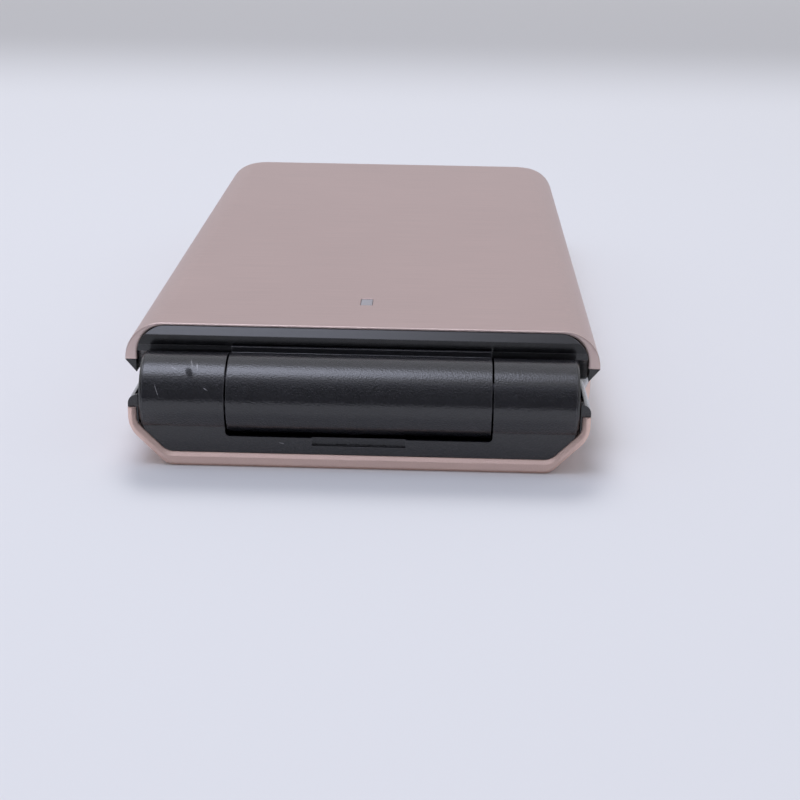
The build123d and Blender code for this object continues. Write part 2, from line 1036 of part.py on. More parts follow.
# Charging socket: a folded steel shell with a contact tongue
with BuildPart() as usb_socket:
    with BuildSketch(Plane.XZ.offset(-socket_y)) as shell_outline:
        with Locations((0, usb_z)):
            RectangleRounded(usb_width, usb_height, usb_corner)
            RectangleRounded(
                usb_width - 2 * usb_wall,
                usb_height - 2 * usb_wall,
                usb_corner - usb_wall,
                mode=Mode.SUBTRACT,
            )
    extrude(amount=usb_depth)
    with BuildSketch(Plane.XZ.offset(-socket_y + usb_depth)):
        with Locations((0, usb_z)):
            RectangleRounded(usb_width, usb_height, usb_corner)
    extrude(amount=-usb_wall)
    with BuildSketch(Plane.XZ.offset(-socket_y + usb_wall)):
        with Locations((0, usb_z)):
            Rectangle(usb_tongue_width, usb_tongue_thickness)
    extrude(amount=usb_depth - usb_wall)
finish(usb_socket.part, "usb_socket")

# Headset socket: a block with a blind round bore
with BuildPart() as headset_socket:
    add(
        block(
            (headset_x - headset_width / 2, headset_x + headset_width / 2),
            (socket_y - headset_depth - cover_side_wall, base_far_y - cover_side_wall - seat_gap),
            (headset_z - headset_height / 2, headset_z + headset_height / 2),
        )
    )
    with BuildSketch(Plane.XZ.offset(-socket_y)):
        with Locations((headset_x, headset_z)):
            Circle(headset_bore_radius + headset_ferrule_wall)
    extrude(amount=cover_side_wall)
    with BuildSketch(Plane.XZ.offset(-socket_y - overlap)):
        with Locations((headset_x, headset_z)):
            Circle(headset_bore_radius)
    extrude(amount=headset_depth + overlap, mode=Mode.SUBTRACT)
finish(headset_socket.part, "headset_socket")

# Base screws
with BuildPart() as base_screws:
    for place_x, place_y in screw_places:
        for side in (-1, 1):
            add(screw(side * place_x, place_y, frame_bottom + screw_head_height, 1, base_screw_length))
finish(base_screws.part, "base_screws")

# Hinge caps that close the outer ends of the barrels
for name, side in (("left_hinge_cap", -1), ("right_hinge_cap", 1)):
    bore = sleeve_radius if side < 0 else shaft_head_flat / 2
    with BuildPart() as hinge_cap:
        add(across(barrel_radius, side * barrel_half, side * (barrel_half + hinge_cap_thickness)))
        rim_edge = hinge_cap.edges().filter_by(GeomType.CIRCLE).sort_by(Axis.X)[-1 if side > 0 else 0]
        chamfer(rim_edge, hinge_cap_bevel)
        add(across(bore, side * (barrel_half - hinge_cap_plug), side * barrel_half))
        add(cover_room, mode=Mode.SUBTRACT)
    finish(hinge_cap.part, name)

# Pivot sleeve: fixed in the left barrel, the lid's knuckle turns on its inner end
sleeve_start = -seam_half + sleeve_reach
sleeve_end = -barrel_half + hinge_cap_plug + sleeve_end_gap
with BuildPart() as pivot_sleeve:
    add(across(sleeve_radius, sleeve_end, sleeve_start))
    add(
        across(sleeve_radius - sleeve_wall, sleeve_end - overlap, sleeve_start + overlap),
        mode=Mode.SUBTRACT,
    )
finish(pivot_sleeve.part, "pivot_sleeve")

# Hinge cartridge: case, spring and follower cam turn with the lid; the shaft and its cam stay with the base
case_end = knuckle_half - case_end_inset
head_start = case_end - follower_length
follower_start = head_start - cartridge_gap - follower_length
with BuildPart() as hinge_case:
    add(across(case_radius, case_start, case_end))
    add(across(case_radius - case_wall, case_start + case_wall, case_end + overlap), mode=Mode.SUBTRACT)
    add(
        across(shaft_radius + running_gap, case_start - overlap, case_start + overlap),
        mode=Mode.SUBTRACT,
    )
    add(
        block(
            (case_start, case_start + case_key_length),
            (hinge_y - case_key_width / 2, hinge_y + case_key_width / 2),
            (hinge_height + case_radius - case_wall / 2, hinge_height + case_radius + case_key_height),
        )
    )
finish(hinge_case.part, "hinge_case")

with BuildPart() as hinge_shaft:
    add(across(shaft_radius, case_start - shaft_tail, head_start + overlap))
    add(across(case_radius - case_wall - running_gap, head_start, seam_half - knuckle_gap / 2))
    with BuildSketch(Plane.YZ.offset(seam_half - knuckle_gap / 2)):
        with Locations(hinge_point):
            Circle(shaft_head_radius)
            Rectangle(2 * case_radius, shaft_head_flat, mode=Mode.INTERSECT)
    extrude(amount=barrel_half - hinge_cap_plug - shaft_head_gap - seam_half + knuckle_gap / 2)
finish(hinge_shaft.part, "hinge_shaft")

with BuildPart() as follower_cam:
    add(across(case_radius - case_wall - running_gap, follower_start, follower_start + follower_length))
    add(
        across(
            shaft_radius + running_gap,
            follower_start - overlap,
            follower_start + follower_length + overlap,
        ),
        mode=Mode.SUBTRACT,
    )
finish(follower_cam.part, "follower_cam")

spring_start = case_start + case_wall + spring_wire / 2 + cartridge_gap / 2
spring_length = follower_start - spring_start - spring_wire / 2 - cartridge_gap / 2
spring_radius = case_radius - case_wall - spring_wire / 2 - cartridge_gap
spring_pitch = spring_length / spring_turns
with BuildPart() as hinge_spring:
    with BuildLine() as spring_path:
        Helix(
            pitch=spring_pitch,
            height=spring_length,
            radius=spring_radius,
            center=(spring_start, hinge_y, hinge_height),
            direction=(1, 0, 0),
        )
    with BuildSketch(Plane(origin=spring_path.line @ 0, z_dir=spring_path.line % 0)):
        Circle(spring_wire / 2)
    sweep()
finish(hinge_spring.part, "hinge_spring")

# Lid cover: brushed metal shell, open at the hinge end
with BuildPart() as lid_cover:
    add(lid_shell(lid_cover_bottom, lid_top, 0, lid_end_y, shoulder_radius))
    inner_top = lid_top - cover_top_wall
    add(
        lid_shell(
            lid_cover_bottom - overlap,
            inner_top,
            lid_side_wall,
            lid_end_y - overlap,
            inner_shoulder_radius,
        ),
        mode=Mode.SUBTRACT,
    )
    status_y = lid_end_y + status_from_hinge
    add(
        around(
            0,
            status_y,
            status_width + 2 * fit_gap,
            status_length + 2 * fit_gap,
            inner_top - overlap,
            lid_top + overlap,
        ),
        mode=Mode.SUBTRACT,
    )
finish(lid_cover.part, "lid_cover")

with BuildPart() as status_window:
    add(around(0, status_y, status_width, status_length, lid_top - status_depth, lid_top - fit_gap))
finish(status_window.part, "status_window")

# Lid frame: moulded chassis of the lid with the centre knuckle of the hinge
glass_bottom = lid_bottom + glass_recess
glass_top = glass_bottom + glass_thickness
ledge_top = glass_top + ledge_thickness
pocket_start = lid_end_y + hinge_block_length
glass_start = pocket_start
glass_end = far_y - glass_border
glass_half = lid_half - glass_side_border
panel_half = glass_half - panel_side_border
panel_start = glass_start + panel_offset + ledge_thickness
earpiece_y = far_y - earpiece_border
camera_room = front_camera_size + 2 * seat_gap
panel_end = earpiece_y - camera_room / 2 - panel_camera_gap
trim_back = hinge_y + trim_setback + trim_depth
trim_bottom = hinge_height + trim_height
neck_top = trim_bottom - neck_drop
frame_top = inner_top - fit_gap
with BuildPart() as lid_frame:
    loft(
        [
            lid_outline(lid_bottom, flange_slope, lid_end_y - overlap, far_corner_radius - flange_slope),
            lid_outline(lid_cover_bottom - fit_gap, 0, lid_end_y - overlap, far_corner_radius),
        ],
        ruled=True,
    )
    add(
        lid_shell(
            lid_cover_bottom - fit_gap,
            frame_top,
            lid_side_wall + fit_gap,
            lid_end_y - overlap,
            inner_shoulder_radius,
        )
    )
    add(
        block((-lid_half, lid_half), (lid_end_y - 2 * overlap, lid_end_y), (0, lid_top + overlap)),
        mode=Mode.SUBTRACT,
    )
    add(
        block((-lid_half, lid_half), (lid_end_y - overlap, trim_back), (trim_bottom - fit_gap, lid_top)),
        mode=Mode.SUBTRACT,
    )
    # Room for the base's barrels
    add(across(lid_clearance_radius, -ear_inner, ear_inner), mode=Mode.SUBTRACT)
    # Knuckle and its neck
    add(across(barrel_radius, -knuckle_half, knuckle_half))
    add(
        block(
            (-knuckle_half, knuckle_half),
            (hinge_y + neck_start, hinge_y + lid_clearance_radius + overlap),
            (lid_bottom, neck_top),
        )
    )
    add(
        block(
            (-knuckle_half, knuckle_half),
            (hinge_y + neck_start, hinge_y + neck_start + neck_lip_length),
            (neck_top - overlap, neck_top + neck_lip_height),
        )
    )
    # Inside of the lid
    pocket_half = lid_half - lid_side_wall - lid_wall
    pocket_end = far_y - lid_side_wall - lid_wall
    add(
        block(
            (-pocket_half, pocket_half),
            (pocket_start, pocket_end),
            (ledge_top, lid_top),
            lid_pocket_round,
        ),
        mode=Mode.SUBTRACT,
    )
    add(
        block(
            (-glass_half - seat_gap, glass_half + seat_gap),
            (glass_start - seat_gap, glass_end + seat_gap),
            (lid_bottom - overlap, glass_top),
            glass_corner + seat_gap,
        ),
        mode=Mode.SUBTRACT,
    )
    add(
        block(
            (-panel_half - seat_gap, panel_half + seat_gap),
            (panel_start - seat_gap, panel_end + seat_gap),
            (glass_top - overlap, ledge_top + overlap),
        ),
        mode=Mode.SUBTRACT,
    )
    add(
        around(
            front_camera_x,
            earpiece_y,
            camera_room,
            camera_room,
            glass_top - overlap,
            ledge_top + overlap,
        ),
        mode=Mode.SUBTRACT,
    )
    add(
        around(
            0,
            earpiece_y,
            mesh_width,
            mesh_depth,
            glass_top - overlap,
            ledge_top + overlap,
            mesh_corner,
        ),
        mode=Mode.SUBTRACT,
    )
    # Bores of the knuckle: cartridge to the right, sleeve to the left, flex in between
    add(across(case_radius + fit_gap, case_start - fit_gap, knuckle_half + overlap), mode=Mode.SUBTRACT)
    add(
        block(
            (case_start - fit_gap, knuckle_half + overlap),
            (hinge_y - case_key_width / 2 - fit_gap, hinge_y + case_key_width / 2 + fit_gap),
            (hinge_height, hinge_height + case_radius + case_key_height + fit_gap),
        ),
        mode=Mode.SUBTRACT,
    )
    add(across(shaft_radius + cartridge_gap, case_start - 2 * shaft_tail, case_start), mode=Mode.SUBTRACT)
    add(
        across(sleeve_radius + running_gap, -knuckle_half - overlap, sleeve_start + seat_gap),
        mode=Mode.SUBTRACT,
    )
    flex_radius = sleeve_radius - sleeve_wall - flex_roll_gap
    flex_end = flex_tail_x + flex_tail_width / 2 + flex_slot_gap
    add(across(flex_radius + flex_slot_gap, sleeve_start, flex_end), mode=Mode.SUBTRACT)
    flex_low = hinge_height + flex_radius - flex_thickness
    add(
        block(
            (flex_tail_x - flex_tail_width / 2 - flex_slot_gap, flex_end),
            (hinge_y, panel_start),
            (flex_low - flex_slot_gap / 2, flex_low + flex_thickness + flex_slot_gap),
        ),
        mode=Mode.SUBTRACT,
    )
    # Seats of the screws and bumpers on the inner face
    for side in (-1, 1):
        screw_seat = lid_bottom + glass_recess + screw_head_height
        place_x = side * (lid_half - lid_screw_border)
        place_y = hinge_y + lid_screw_distance
        add(disc(place_x, place_y, screw_head_radius + seat_gap, 0, screw_seat), mode=Mode.SUBTRACT)
        add(
            disc(place_x, place_y, screw_shank_radius + fit_gap, screw_seat, screw_seat + lid_screw_length),
            mode=Mode.SUBTRACT,
        )
    bumper_places = []
    for side in (-1, 1):
        bumper_places.append((side * (lid_half - bumper_side_border), far_y - bumper_far_border))
        bumper_places.append((side * bumper_hinge_spread / 2, hinge_y + bumper_hinge_distance))
    for bumper_x, bumper_y in bumper_places:
        add(
            around(
                bumper_x,
                bumper_y,
                bumper_length + 2 * fit_gap,
                bumper_width + 2 * fit_gap,
                0,
                lid_bottom + bumper_recess,
            ),
            mode=Mode.SUBTRACT,
        )
finish(lid_frame.part, "lid_frame")

# End trim: glossy bar that closes the hinge end of the lid
with BuildPart() as lid_end_trim:
    trim_half = lid_half - lid_side_wall - fit_gap
    with BuildSketch(Plane.XZ.offset(-trim_back)) as trim_outline:
        with Locations((0, (lid_cover_bottom + frame_top) / 2)):
            Rectangle(2 * trim_half, frame_top - lid_cover_bottom)
        fillet(trim_outline.vertices().group_by(Axis.Y)[-1], inner_shoulder_radius)
        with Locations((0, (trim_bottom + lid_top) / 2)):
            Rectangle(lid_width, lid_top - trim_bottom, mode=Mode.INTERSECT)
    extrude(amount=trim_depth)
    # Flat bevel along the top of its face
    trim_front = trim_back - trim_depth
    with BuildSketch(Plane.YZ.offset(-lid_half)):
        with BuildLine():
            Polyline(
                (trim_front - overlap, frame_top - trim_bevel - overlap),
                (trim_front + trim_bevel + overlap, frame_top + overlap),
                (trim_front - overlap, frame_top + overlap),
                close=True,
            )
        make_face()
    extrude(amount=lid_width, mode=Mode.SUBTRACT)
finish(lid_end_trim.part, "lid_end_trim")

# Display: cover glass, panel, steel bracket and driver board
with BuildPart() as display_glass:
    add(
        block(
            (-glass_half, glass_half),
            (glass_start, glass_end),
            (glass_bottom, glass_top),
            glass_corner,
        )
    )
    add(
        around(
            0,
            earpiece_y,
            mesh_width + 2 * fit_gap,
            mesh_depth + 2 * fit_gap,
            lid_bottom - overlap,
            glass_top + overlap,
            mesh_corner,
        ),
        mode=Mode.SUBTRACT,
    )
finish(display_glass.part, "display_glass")

with BuildPart() as display_panel:
    add(
        block(
            (-panel_half, panel_half),
            (panel_start, panel_end),
            (glass_top, glass_top + panel_thickness),
        )
    )
finish(display_panel.part, "display_panel")

bracket_low = glass_top + panel_thickness
with BuildPart() as display_bracket:
    add(
        block(
            (-panel_half - bracket_margin, panel_half + bracket_margin),
            (panel_start, glass_end - bracket_far_border),
            (bracket_low, bracket_low + bracket_thickness),
            lid_pocket_round,
        )
    )
    bracket_middle = (panel_start + panel_end) / 2
    for hole_y in (bracket_middle - bracket_hole_pitch, bracket_middle):
        add(
            disc(0, hole_y, bracket_hole, bracket_low - overlap, bracket_low + bracket_thickness + overlap),
            mode=Mode.SUBTRACT,
        )
    add(
        around(
            front_camera_x,
            earpiece_y,
            camera_room,
            camera_room,
            bracket_low - overlap,
            bracket_low + bracket_thickness + overlap,
        ),
        mode=Mode.SUBTRACT,
    )
    add(
        around(
            0,
            earpiece_y,
            earpiece_width + 2 * seat_gap,
            earpiece_depth + 2 * seat_gap,
            bracket_low - overlap,
            bracket_low + bracket_thickness + overlap,
        ),
        mode=Mode.SUBTRACT,
    )
finish(display_bracket.part, "display_bracket")

with BuildPart() as lid_board:
    lid_board_low = bracket_low + bracket_thickness
    board_end = earpiece_y - camera_room / 2
    add(
        block(
            (-panel_half - lid_board_margin, panel_half + lid_board_margin),
            (board_end - lid_board_length, board_end),
            (lid_board_low, lid_board_low + lid_board_thickness),
            lid_pocket_round,
        )
    )
finish(lid_board.part, "lid_board")

# Earpiece with its mesh, and the front camera
with BuildPart() as earpiece:
    add(around(0, earpiece_y, earpiece_width, earpiece_depth, ledge_top, ledge_top + earpiece_thickness))
finish(earpiece.part, "earpiece")

with BuildPart() as earpiece_mesh:
    add(
        around(
            0,
            earpiece_y,
            mesh_width - 2 * fit_gap,
            mesh_depth - 2 * fit_gap,
            glass_top - mesh_thickness,
            glass_top,
            mesh_corner,
        )
    )
    add(
        around(
            0,
            earpiece_y,
            mesh_width - 2 * fit_gap,
            mesh_depth - 2 * fit_gap,
            glass_top,
            ledge_top,
            mesh_corner,
        )
    )
finish(earpiece_mesh.part, "earpiece_mesh")

with BuildPart() as front_camera:
    add(
        around(
            front_camera_x,
            earpiece_y,
            front_camera_size,
            front_camera_size,
            glass_top + seat_gap,
            glass_top + front_camera_height,
        )
    )
    add(disc(front_camera_x, earpiece_y, front_camera_lens, glass_top, glass_top + overlap))
finish(front_camera.part, "front_camera")

# Display flex: rolled inside the pivot sleeve, its tail runs through the neck to the display
with BuildPart() as display_flex:
    roll_start = flex_end - flex_slot_gap - flex_roll_length
    add(across(flex_radius, roll_start, flex_end - flex_slot_gap))
    add(across(flex_radius - flex_thickness, roll_start - overlap, flex_end), mode=Mode.SUBTRACT)
    add(
        block(
            (flex_tail_x - flex_tail_width / 2, flex_tail_x + flex_tail_width / 2),
            (hinge_y, panel_start - flex_tail_end),
            (flex_low, flex_low + flex_thickness),
        )
    )
finish(display_flex.part, "display_flex")

# Rubber bumpers and screws on the inner face of the lid
with BuildPart() as lid_bumpers:
    for bumper_x, bumper_y in bumper_places:
        add(
            around(
                bumper_x,
                bumper_y,
                bumper_length,
                bumper_width,
                lid_bottom - bumper_stand,
                lid_bottom + bumper_recess,
                bumper_corner,
            )
        )
finish(lid_bumpers.part, "lid_bumpers")

with BuildPart() as lid_screws:
    for side in (-1, 1):
        add(
            screw(
                side * (lid_half - lid_screw_border),
                hinge_y + lid_screw_distance,
                lid_bottom + glass_recess + screw_head_height,
                1,
                lid_screw_length,
            )
        )
finish(lid_screws.part, "lid_screws")
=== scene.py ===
import bpy
from math import cos, pi, radians, sin
from mathutils import Matrix, Vector


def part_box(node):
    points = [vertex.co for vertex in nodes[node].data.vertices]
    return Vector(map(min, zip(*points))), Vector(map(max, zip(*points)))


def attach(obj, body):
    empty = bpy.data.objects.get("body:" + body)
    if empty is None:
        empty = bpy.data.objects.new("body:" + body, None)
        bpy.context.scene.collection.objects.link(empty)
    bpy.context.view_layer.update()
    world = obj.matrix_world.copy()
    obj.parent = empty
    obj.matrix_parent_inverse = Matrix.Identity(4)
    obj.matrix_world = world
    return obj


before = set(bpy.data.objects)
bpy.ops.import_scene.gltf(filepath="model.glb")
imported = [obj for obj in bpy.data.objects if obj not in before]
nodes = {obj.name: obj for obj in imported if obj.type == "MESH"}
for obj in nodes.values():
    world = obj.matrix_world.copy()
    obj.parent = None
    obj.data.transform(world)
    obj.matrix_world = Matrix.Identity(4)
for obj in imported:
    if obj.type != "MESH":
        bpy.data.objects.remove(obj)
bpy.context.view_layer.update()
scene = bpy.context.scene


# Camera: a long lens a hand's height above the table, looking down along the phone from its
# hinge end.

lens = 72.3
sensor_width = 36
nearest_seen = 0.01
furthest_seen = 20
eye = Vector((0.0096, -0.2442, 0.0737))
yaw = radians(1.41)
pitch = radians(19.22)
roll = radians(0.86)
ahead = Vector((-sin(yaw) * cos(pitch), cos(yaw) * cos(pitch), -sin(pitch)))
level = Vector((cos(yaw), sin(yaw), 0))
upright = level.cross(ahead)
side = level * cos(roll) + upright * sin(roll)
top = upright * cos(roll) - level * sin(roll)
camera_data = bpy.data.cameras.new("camera")
camera_data.lens = lens
camera_data.sensor_width = sensor_width
camera_data.clip_start = nearest_seen
camera_data.clip_end = furthest_seen
camera = bpy.data.objects.new("camera", camera_data)
camera.matrix_world = Matrix((
    (side.x, top.x, -ahead.x, eye.x),
    (side.y, top.y, -ahead.y, eye.y),
    (side.z, top.z, -ahead.z, eye.z),
    (0, 0, 0, 1),
))
scene.collection.objects.link(camera)
scene.camera = camera
scene.view_settings.view_transform = "Standard"


# Table: a sheet of matt white paper, greyer in a soft band from 0.22 m to 0.40 m behind the phone. Out of
# the lamps' reach it glows for the camera only, a painted light that keeps it at the pale tone of the room.

def linear(code):
    """Linear colour of an sRGB hex code, as a shader socket takes it."""
    shares = [int(code[place:place + 2], 16) / 255 for place in (1, 3, 5)]
    return [s / 12.92 if s <= 0.04045 else ((s + 0.055) / 1.055) ** 2.4 for s in shares] + [1.0]


def add_node(tree, kind, settings, inputs):
    """Add a node, apply its settings, and set each input to a value or link it to a socket."""
    node = tree.nodes.new(kind)
    for name, value in settings.items():
        setattr(node, name, value)
    for name, value in inputs.items():
        if isinstance(value, bpy.types.NodeSocket):
            tree.links.new(value, node.inputs[name])
        else:
            node.inputs[name].default_value = value
    return node


def new_material(name, **values):
    """A material with its shader, its tree and the place in the piece; values go on the shader."""
    material = bpy.data.materials.new(name)
    material.use_nodes = True
    tree = material.node_tree
    shader = tree.nodes["Principled BSDF"]
    for socket, value in values.items():
        shader.inputs[socket.replace("_", " ")].default_value = value
    place = add_node(tree, "ShaderNodeTexCoord", {}, {}).outputs["Object"]
    return material, tree, shader, place


def new_piece(name, vertices, faces, material):
    """A mesh object at the origin."""
    mesh = bpy.data.meshes.new(name)
    mesh.from_pydata([tuple(v) for v in vertices], [], faces)
    mesh.materials.append(material)
    piece = bpy.data.objects.new(name, mesh)
    scene.collection.objects.link(piece)
    return piece


# A Mix node's colours are its inputs 6 and 7 and its output 2, and its numbers its inputs 2 and 3.
paper_fades_from = 0.22
paper_fades_to = 0.40
painted_glow_from = 0.4
painted_glow_to = 2.0
painted_glow_most = 0.33
paper, tree, shader, place = new_material("matt_white_paper", Roughness=0.85, Specular_IOR_Level=0.25)
depth = add_node(tree, "ShaderNodeSeparateXYZ", {}, {"Vector": place}).outputs["Y"]
fade = add_node(tree, "ShaderNodeMapRange", {"interpolation_type": "SMOOTHSTEP"}, {
    "Value": depth, "From Min": paper_fades_from, "From Max": paper_fades_to,
}).outputs["Result"]
tone = add_node(tree, "ShaderNodeMix", {"data_type": "RGBA"}, {
    "Factor": fade, 6: linear("#dddee1"), 7: linear("#bbbbbd"),
}).outputs[2]
tree.links.new(tone, shader.inputs["Base Color"])
# Painted light: from 0.4 m to 2 m away the paper glows more and more, for camera rays only.
away = add_node(tree, "ShaderNodeVectorMath", {"operation": "LENGTH"}, {0: place}).outputs["Value"]
painted_glow = add_node(tree, "ShaderNodeMapRange", {"interpolation_type": "SMOOTHSTEP"}, {
    "Value": away, "From Min": painted_glow_from, "From Max": painted_glow_to, "To Max": painted_glow_most,
}).outputs["Result"]
looked_at = add_node(tree, "ShaderNodeLightPath", {}, {}).outputs["Is Camera Ray"]
painted_glow = add_node(tree, "ShaderNodeMath", {"operation": "MULTIPLY"}, {0: painted_glow, 1: looked_at}).outputs[0]
shader.inputs["Emission Color"].default_value = linear("#f0f2fb")
tree.links.new(painted_glow, shader.inputs["Emission Strength"])
table_reach = 3.0
table = new_piece(
    "table",
    [(x * table_reach, y * table_reach, 0) for x, y in ((-1, -1), (1, -1), (1, 1), (-1, 1))],
    [(0, 1, 2, 3)],
    paper,
)


# Studio: a soft box above the phone and to its left, a larger one far behind that throws its shadow
# forwards, a plain pale room, and a dark card in front that only gloss can see, which keeps the
# black mouldings dark.

room_light = 0.48
room_look = 0.71
world = bpy.data.worlds.new("studio")
world.use_nodes = True
scene.world = world
tree = world.node_tree
path = add_node(tree, "ShaderNodeLightPath", {}, {})
seen = add_node(tree, "ShaderNodeMath", {"operation": "MAXIMUM"}, {
    0: path.outputs["Is Camera Ray"], 1: path.outputs["Is Glossy Ray"],
}).outputs[0]
seen = add_node(tree, "ShaderNodeMath", {"operation": "MAXIMUM"}, {
    0: seen, 1: path.outputs["Is Transmission Ray"],
}).outputs[0]
strength = add_node(tree, "ShaderNodeMapRange", {}, {
    "Value": seen, "To Min": room_light, "To Max": room_look,
}).outputs[0]
backdrop = tree.nodes["Background"]
backdrop.inputs["Color"].default_value = linear("#f7f8ff")
tree.links.new(strength, backdrop.inputs["Strength"])

# Each soft box has its name, place, width, watts and tint, and whether gloss shows it. It glows
# brightest in its middle and fades to its rim, as a diffuser in front of one bulb does.
box_middle = (0.5, 0.5, 0)
glow_core = 0.1
glow_rim = 0.5
core_glow = 1.5
rim_glow = 0.1
lamps = (
    ("overhead_box", (-0.13, -0.10, 0.62), 0.55, 2.8, "#e4e9ff", True),
    ("rear_box", (-0.15, 1.70, 2.05), 1.4, 60.0, "#fefdff", False),
)
for name, spot, width, watts, tint, mirrored in lamps:
    lamp_data = bpy.data.lights.new(name, "AREA")
    lamp_data.shape = "SQUARE"
    lamp_data.size = width
    lamp_data.energy = watts
    lamp_data.color = linear(tint)[:3]
    lamp_data.use_nodes = True
    tree = lamp_data.node_tree
    spread = add_node(tree, "ShaderNodeNewGeometry", {}, {}).outputs["Parametric"]
    away = add_node(tree, "ShaderNodeVectorMath", {"operation": "DISTANCE"}, {
        0: spread, 1: box_middle,
    }).outputs["Value"]
    glow = add_node(tree, "ShaderNodeMapRange", {"interpolation_type": "SMOOTHSTEP"}, {
        "Value": away, "From Min": glow_core, "From Max": glow_rim, "To Min": core_glow, "To Max": rim_glow,
    }).outputs["Result"]
    tree.links.new(glow, tree.nodes["Emission"].inputs["Strength"])
    lamp = bpy.data.objects.new(name, lamp_data)
    lamp.location = spot
    lamp.rotation_euler = (-Vector(spot)).to_track_quat("-Z", "Y").to_euler()
    lamp.visible_glossy = mirrored
    lamp.visible_camera = False
    scene.collection.objects.link(lamp)

# The card is a painted reflection that only gloss sees: dark up to 0.06 m and paling to near white at 0.15
# m, so the black mouldings reflect a dark band with a pale one above it.
card_y = -0.135
card_half = 0.6
card_low = 0.0005
card_pales_from = 0.06
card_high = 0.15
card_paint, tree, shader, place = new_material("dark_card", Roughness=0.9)
height = add_node(tree, "ShaderNodeSeparateXYZ", {}, {"Vector": place}).outputs["Z"]
fade = add_node(tree, "ShaderNodeMapRange", {"interpolation_type": "SMOOTHSTEP"}, {
    "Value": height, "From Min": card_pales_from, "From Max": card_high,
}).outputs["Result"]
tone = add_node(tree, "ShaderNodeMix", {"data_type": "RGBA"}, {
    "Factor": fade, 6: linear("#34343a"), 7: linear("#d0d2dc"),
}).outputs[2]
tree.links.new(tone, shader.inputs["Base Color"])
card = new_piece(
    "dark_card",
    [
        (x * card_half, card_y, z)
        for x, z in ((-1, card_low), (1, card_low), (1, card_high), (-1, card_high))
    ],
    [(0, 1, 2, 3)],
    card_paint,
)
card.visible_camera = False
card.visible_diffuse = False
card.visible_shadow = False
card.visible_transmission = False


# Battery cover and side keys: a tray pressed from aluminium sheet, bead blasted and anodised rose
# gold, clipped round the back of the base. The side keys are turned from the same alloy.

def dress(names, material):
    """Give carried-over nodes their material."""
    for name in names:
        mesh = nodes[name].data
        mesh.materials.clear()
        mesh.materials.append(material)


# The grain's noise seldom leaves 0.32 to 0.68, so that span is stretched to the whole. The edge colour,
# wear together with a painted highlight along the edge, starts where the eased edge leans 10 degrees off
# its face and is full at 26 degrees, in cosines.
grain_dark, grain_pale = 0.32, 0.68
grain_depth = 2.0
cloud_depth = 3.0
cloud_share = 0.4
edge_samples = 6
wear_and_highlight_from, wear_and_highlight_to = 0.985, 0.90
wear_and_highlight_most = 0.75
relief_share = 0.6


def weathered(
    tree, shader, place, fine, broad, colours, sheen, relief, edge, stretch=(1, 1, 1), wear_and_highlight=None,
):
    """Finish of one surface: grain of a fine spacing that shifts its colour, polish and relief, and a slow
    cloud of a broad spacing, as handling and the process leave it. Its edges are eased, and where an edge
    colour is given they are painted with it, as wear and as a painted highlight along the edge. Returns the
    colour and the normal of the eased edge."""
    drawn = [part / fine for part in stretch]
    across = add_node(tree, "ShaderNodeMapping", {}, {"Vector": place, "Scale": drawn}).outputs["Vector"]
    grain = add_node(tree, "ShaderNodeTexNoise", {}, {
        "Vector": across, "Scale": 1.0, "Detail": grain_depth,
    }).outputs["Fac"]
    cloud = add_node(tree, "ShaderNodeTexNoise", {}, {
        "Vector": place, "Scale": 1 / broad, "Detail": cloud_depth,
    }).outputs["Fac"]
    shade = add_node(tree, "ShaderNodeMapRange", {}, {
        "Value": grain, "From Min": grain_dark, "From Max": grain_pale,
    }).outputs["Result"]
    share = add_node(tree, "ShaderNodeMix", {}, {"Factor": cloud_share, 2: shade, 3: cloud}).outputs[0]
    colour = add_node(tree, "ShaderNodeMix", {"data_type": "RGBA"}, {
        "Factor": share, 6: linear(colours[0]), 7: linear(colours[1]),
    }).outputs[2]
    eased = add_node(tree, "ShaderNodeBevel", {"samples": edge_samples}, {"Radius": edge}).outputs["Normal"]
    if wear_and_highlight:
        flat = add_node(tree, "ShaderNodeNewGeometry", {}, {}).outputs["Normal"]
        turned = add_node(tree, "ShaderNodeVectorMath", {"operation": "DOT_PRODUCT"}, {
            0: eased, 1: flat,
        }).outputs["Value"]
        wear_and_highlight_share = add_node(tree, "ShaderNodeMapRange", {}, {
            "Value": turned, "From Min": wear_and_highlight_from, "From Max": wear_and_highlight_to, "To Max": wear_and_highlight_most,
        }).outputs["Result"]
        wear_and_highlight_share = add_node(tree, "ShaderNodeMath", {"operation": "MULTIPLY"}, {
            0: wear_and_highlight_share, 1: cloud,
        }).outputs[0]
        colour = add_node(tree, "ShaderNodeMix", {"data_type": "RGBA"}, {
            "Factor": wear_and_highlight_share, 6: colour, 7: linear(wear_and_highlight),
        }).outputs[2]
    tree.links.new(colour, shader.inputs["Base Color"])
    rough = add_node(tree, "ShaderNodeMapRange", {}, {
        "Value": share, "To Min": sheen[0], "To Max": sheen[1],
    }).outputs["Result"]
    tree.links.new(rough, shader.inputs["Roughness"])
    bump = add_node(tree, "ShaderNodeBump", {}, {
        "Height": grain, "Distance": relief, "Strength": relief_share, "Normal": eased,
    }).outputs["Normal"]
    tree.links.new(bump, shader.inputs["Normal"])
    return colour, eased


# Anodised blasted aluminium: a fine even sparkle without direction. The grit marks are about
# 0.05 mm wide, drawn three times as coarse so that they show.
blasted_aluminium, tree, shader, place = new_material("anodised_blasted_aluminium", Metallic=0.75)
weathered(
    tree, shader, place, fine=0.00015, broad=0.012, colours=("#eaccc0", "#f4dad0"), sheen=(0.54, 0.64),
    relief=0.000004, edge=0.0002,
)
dress(("battery_cover", "volume_key", "power_key"), blasted_aluminium)
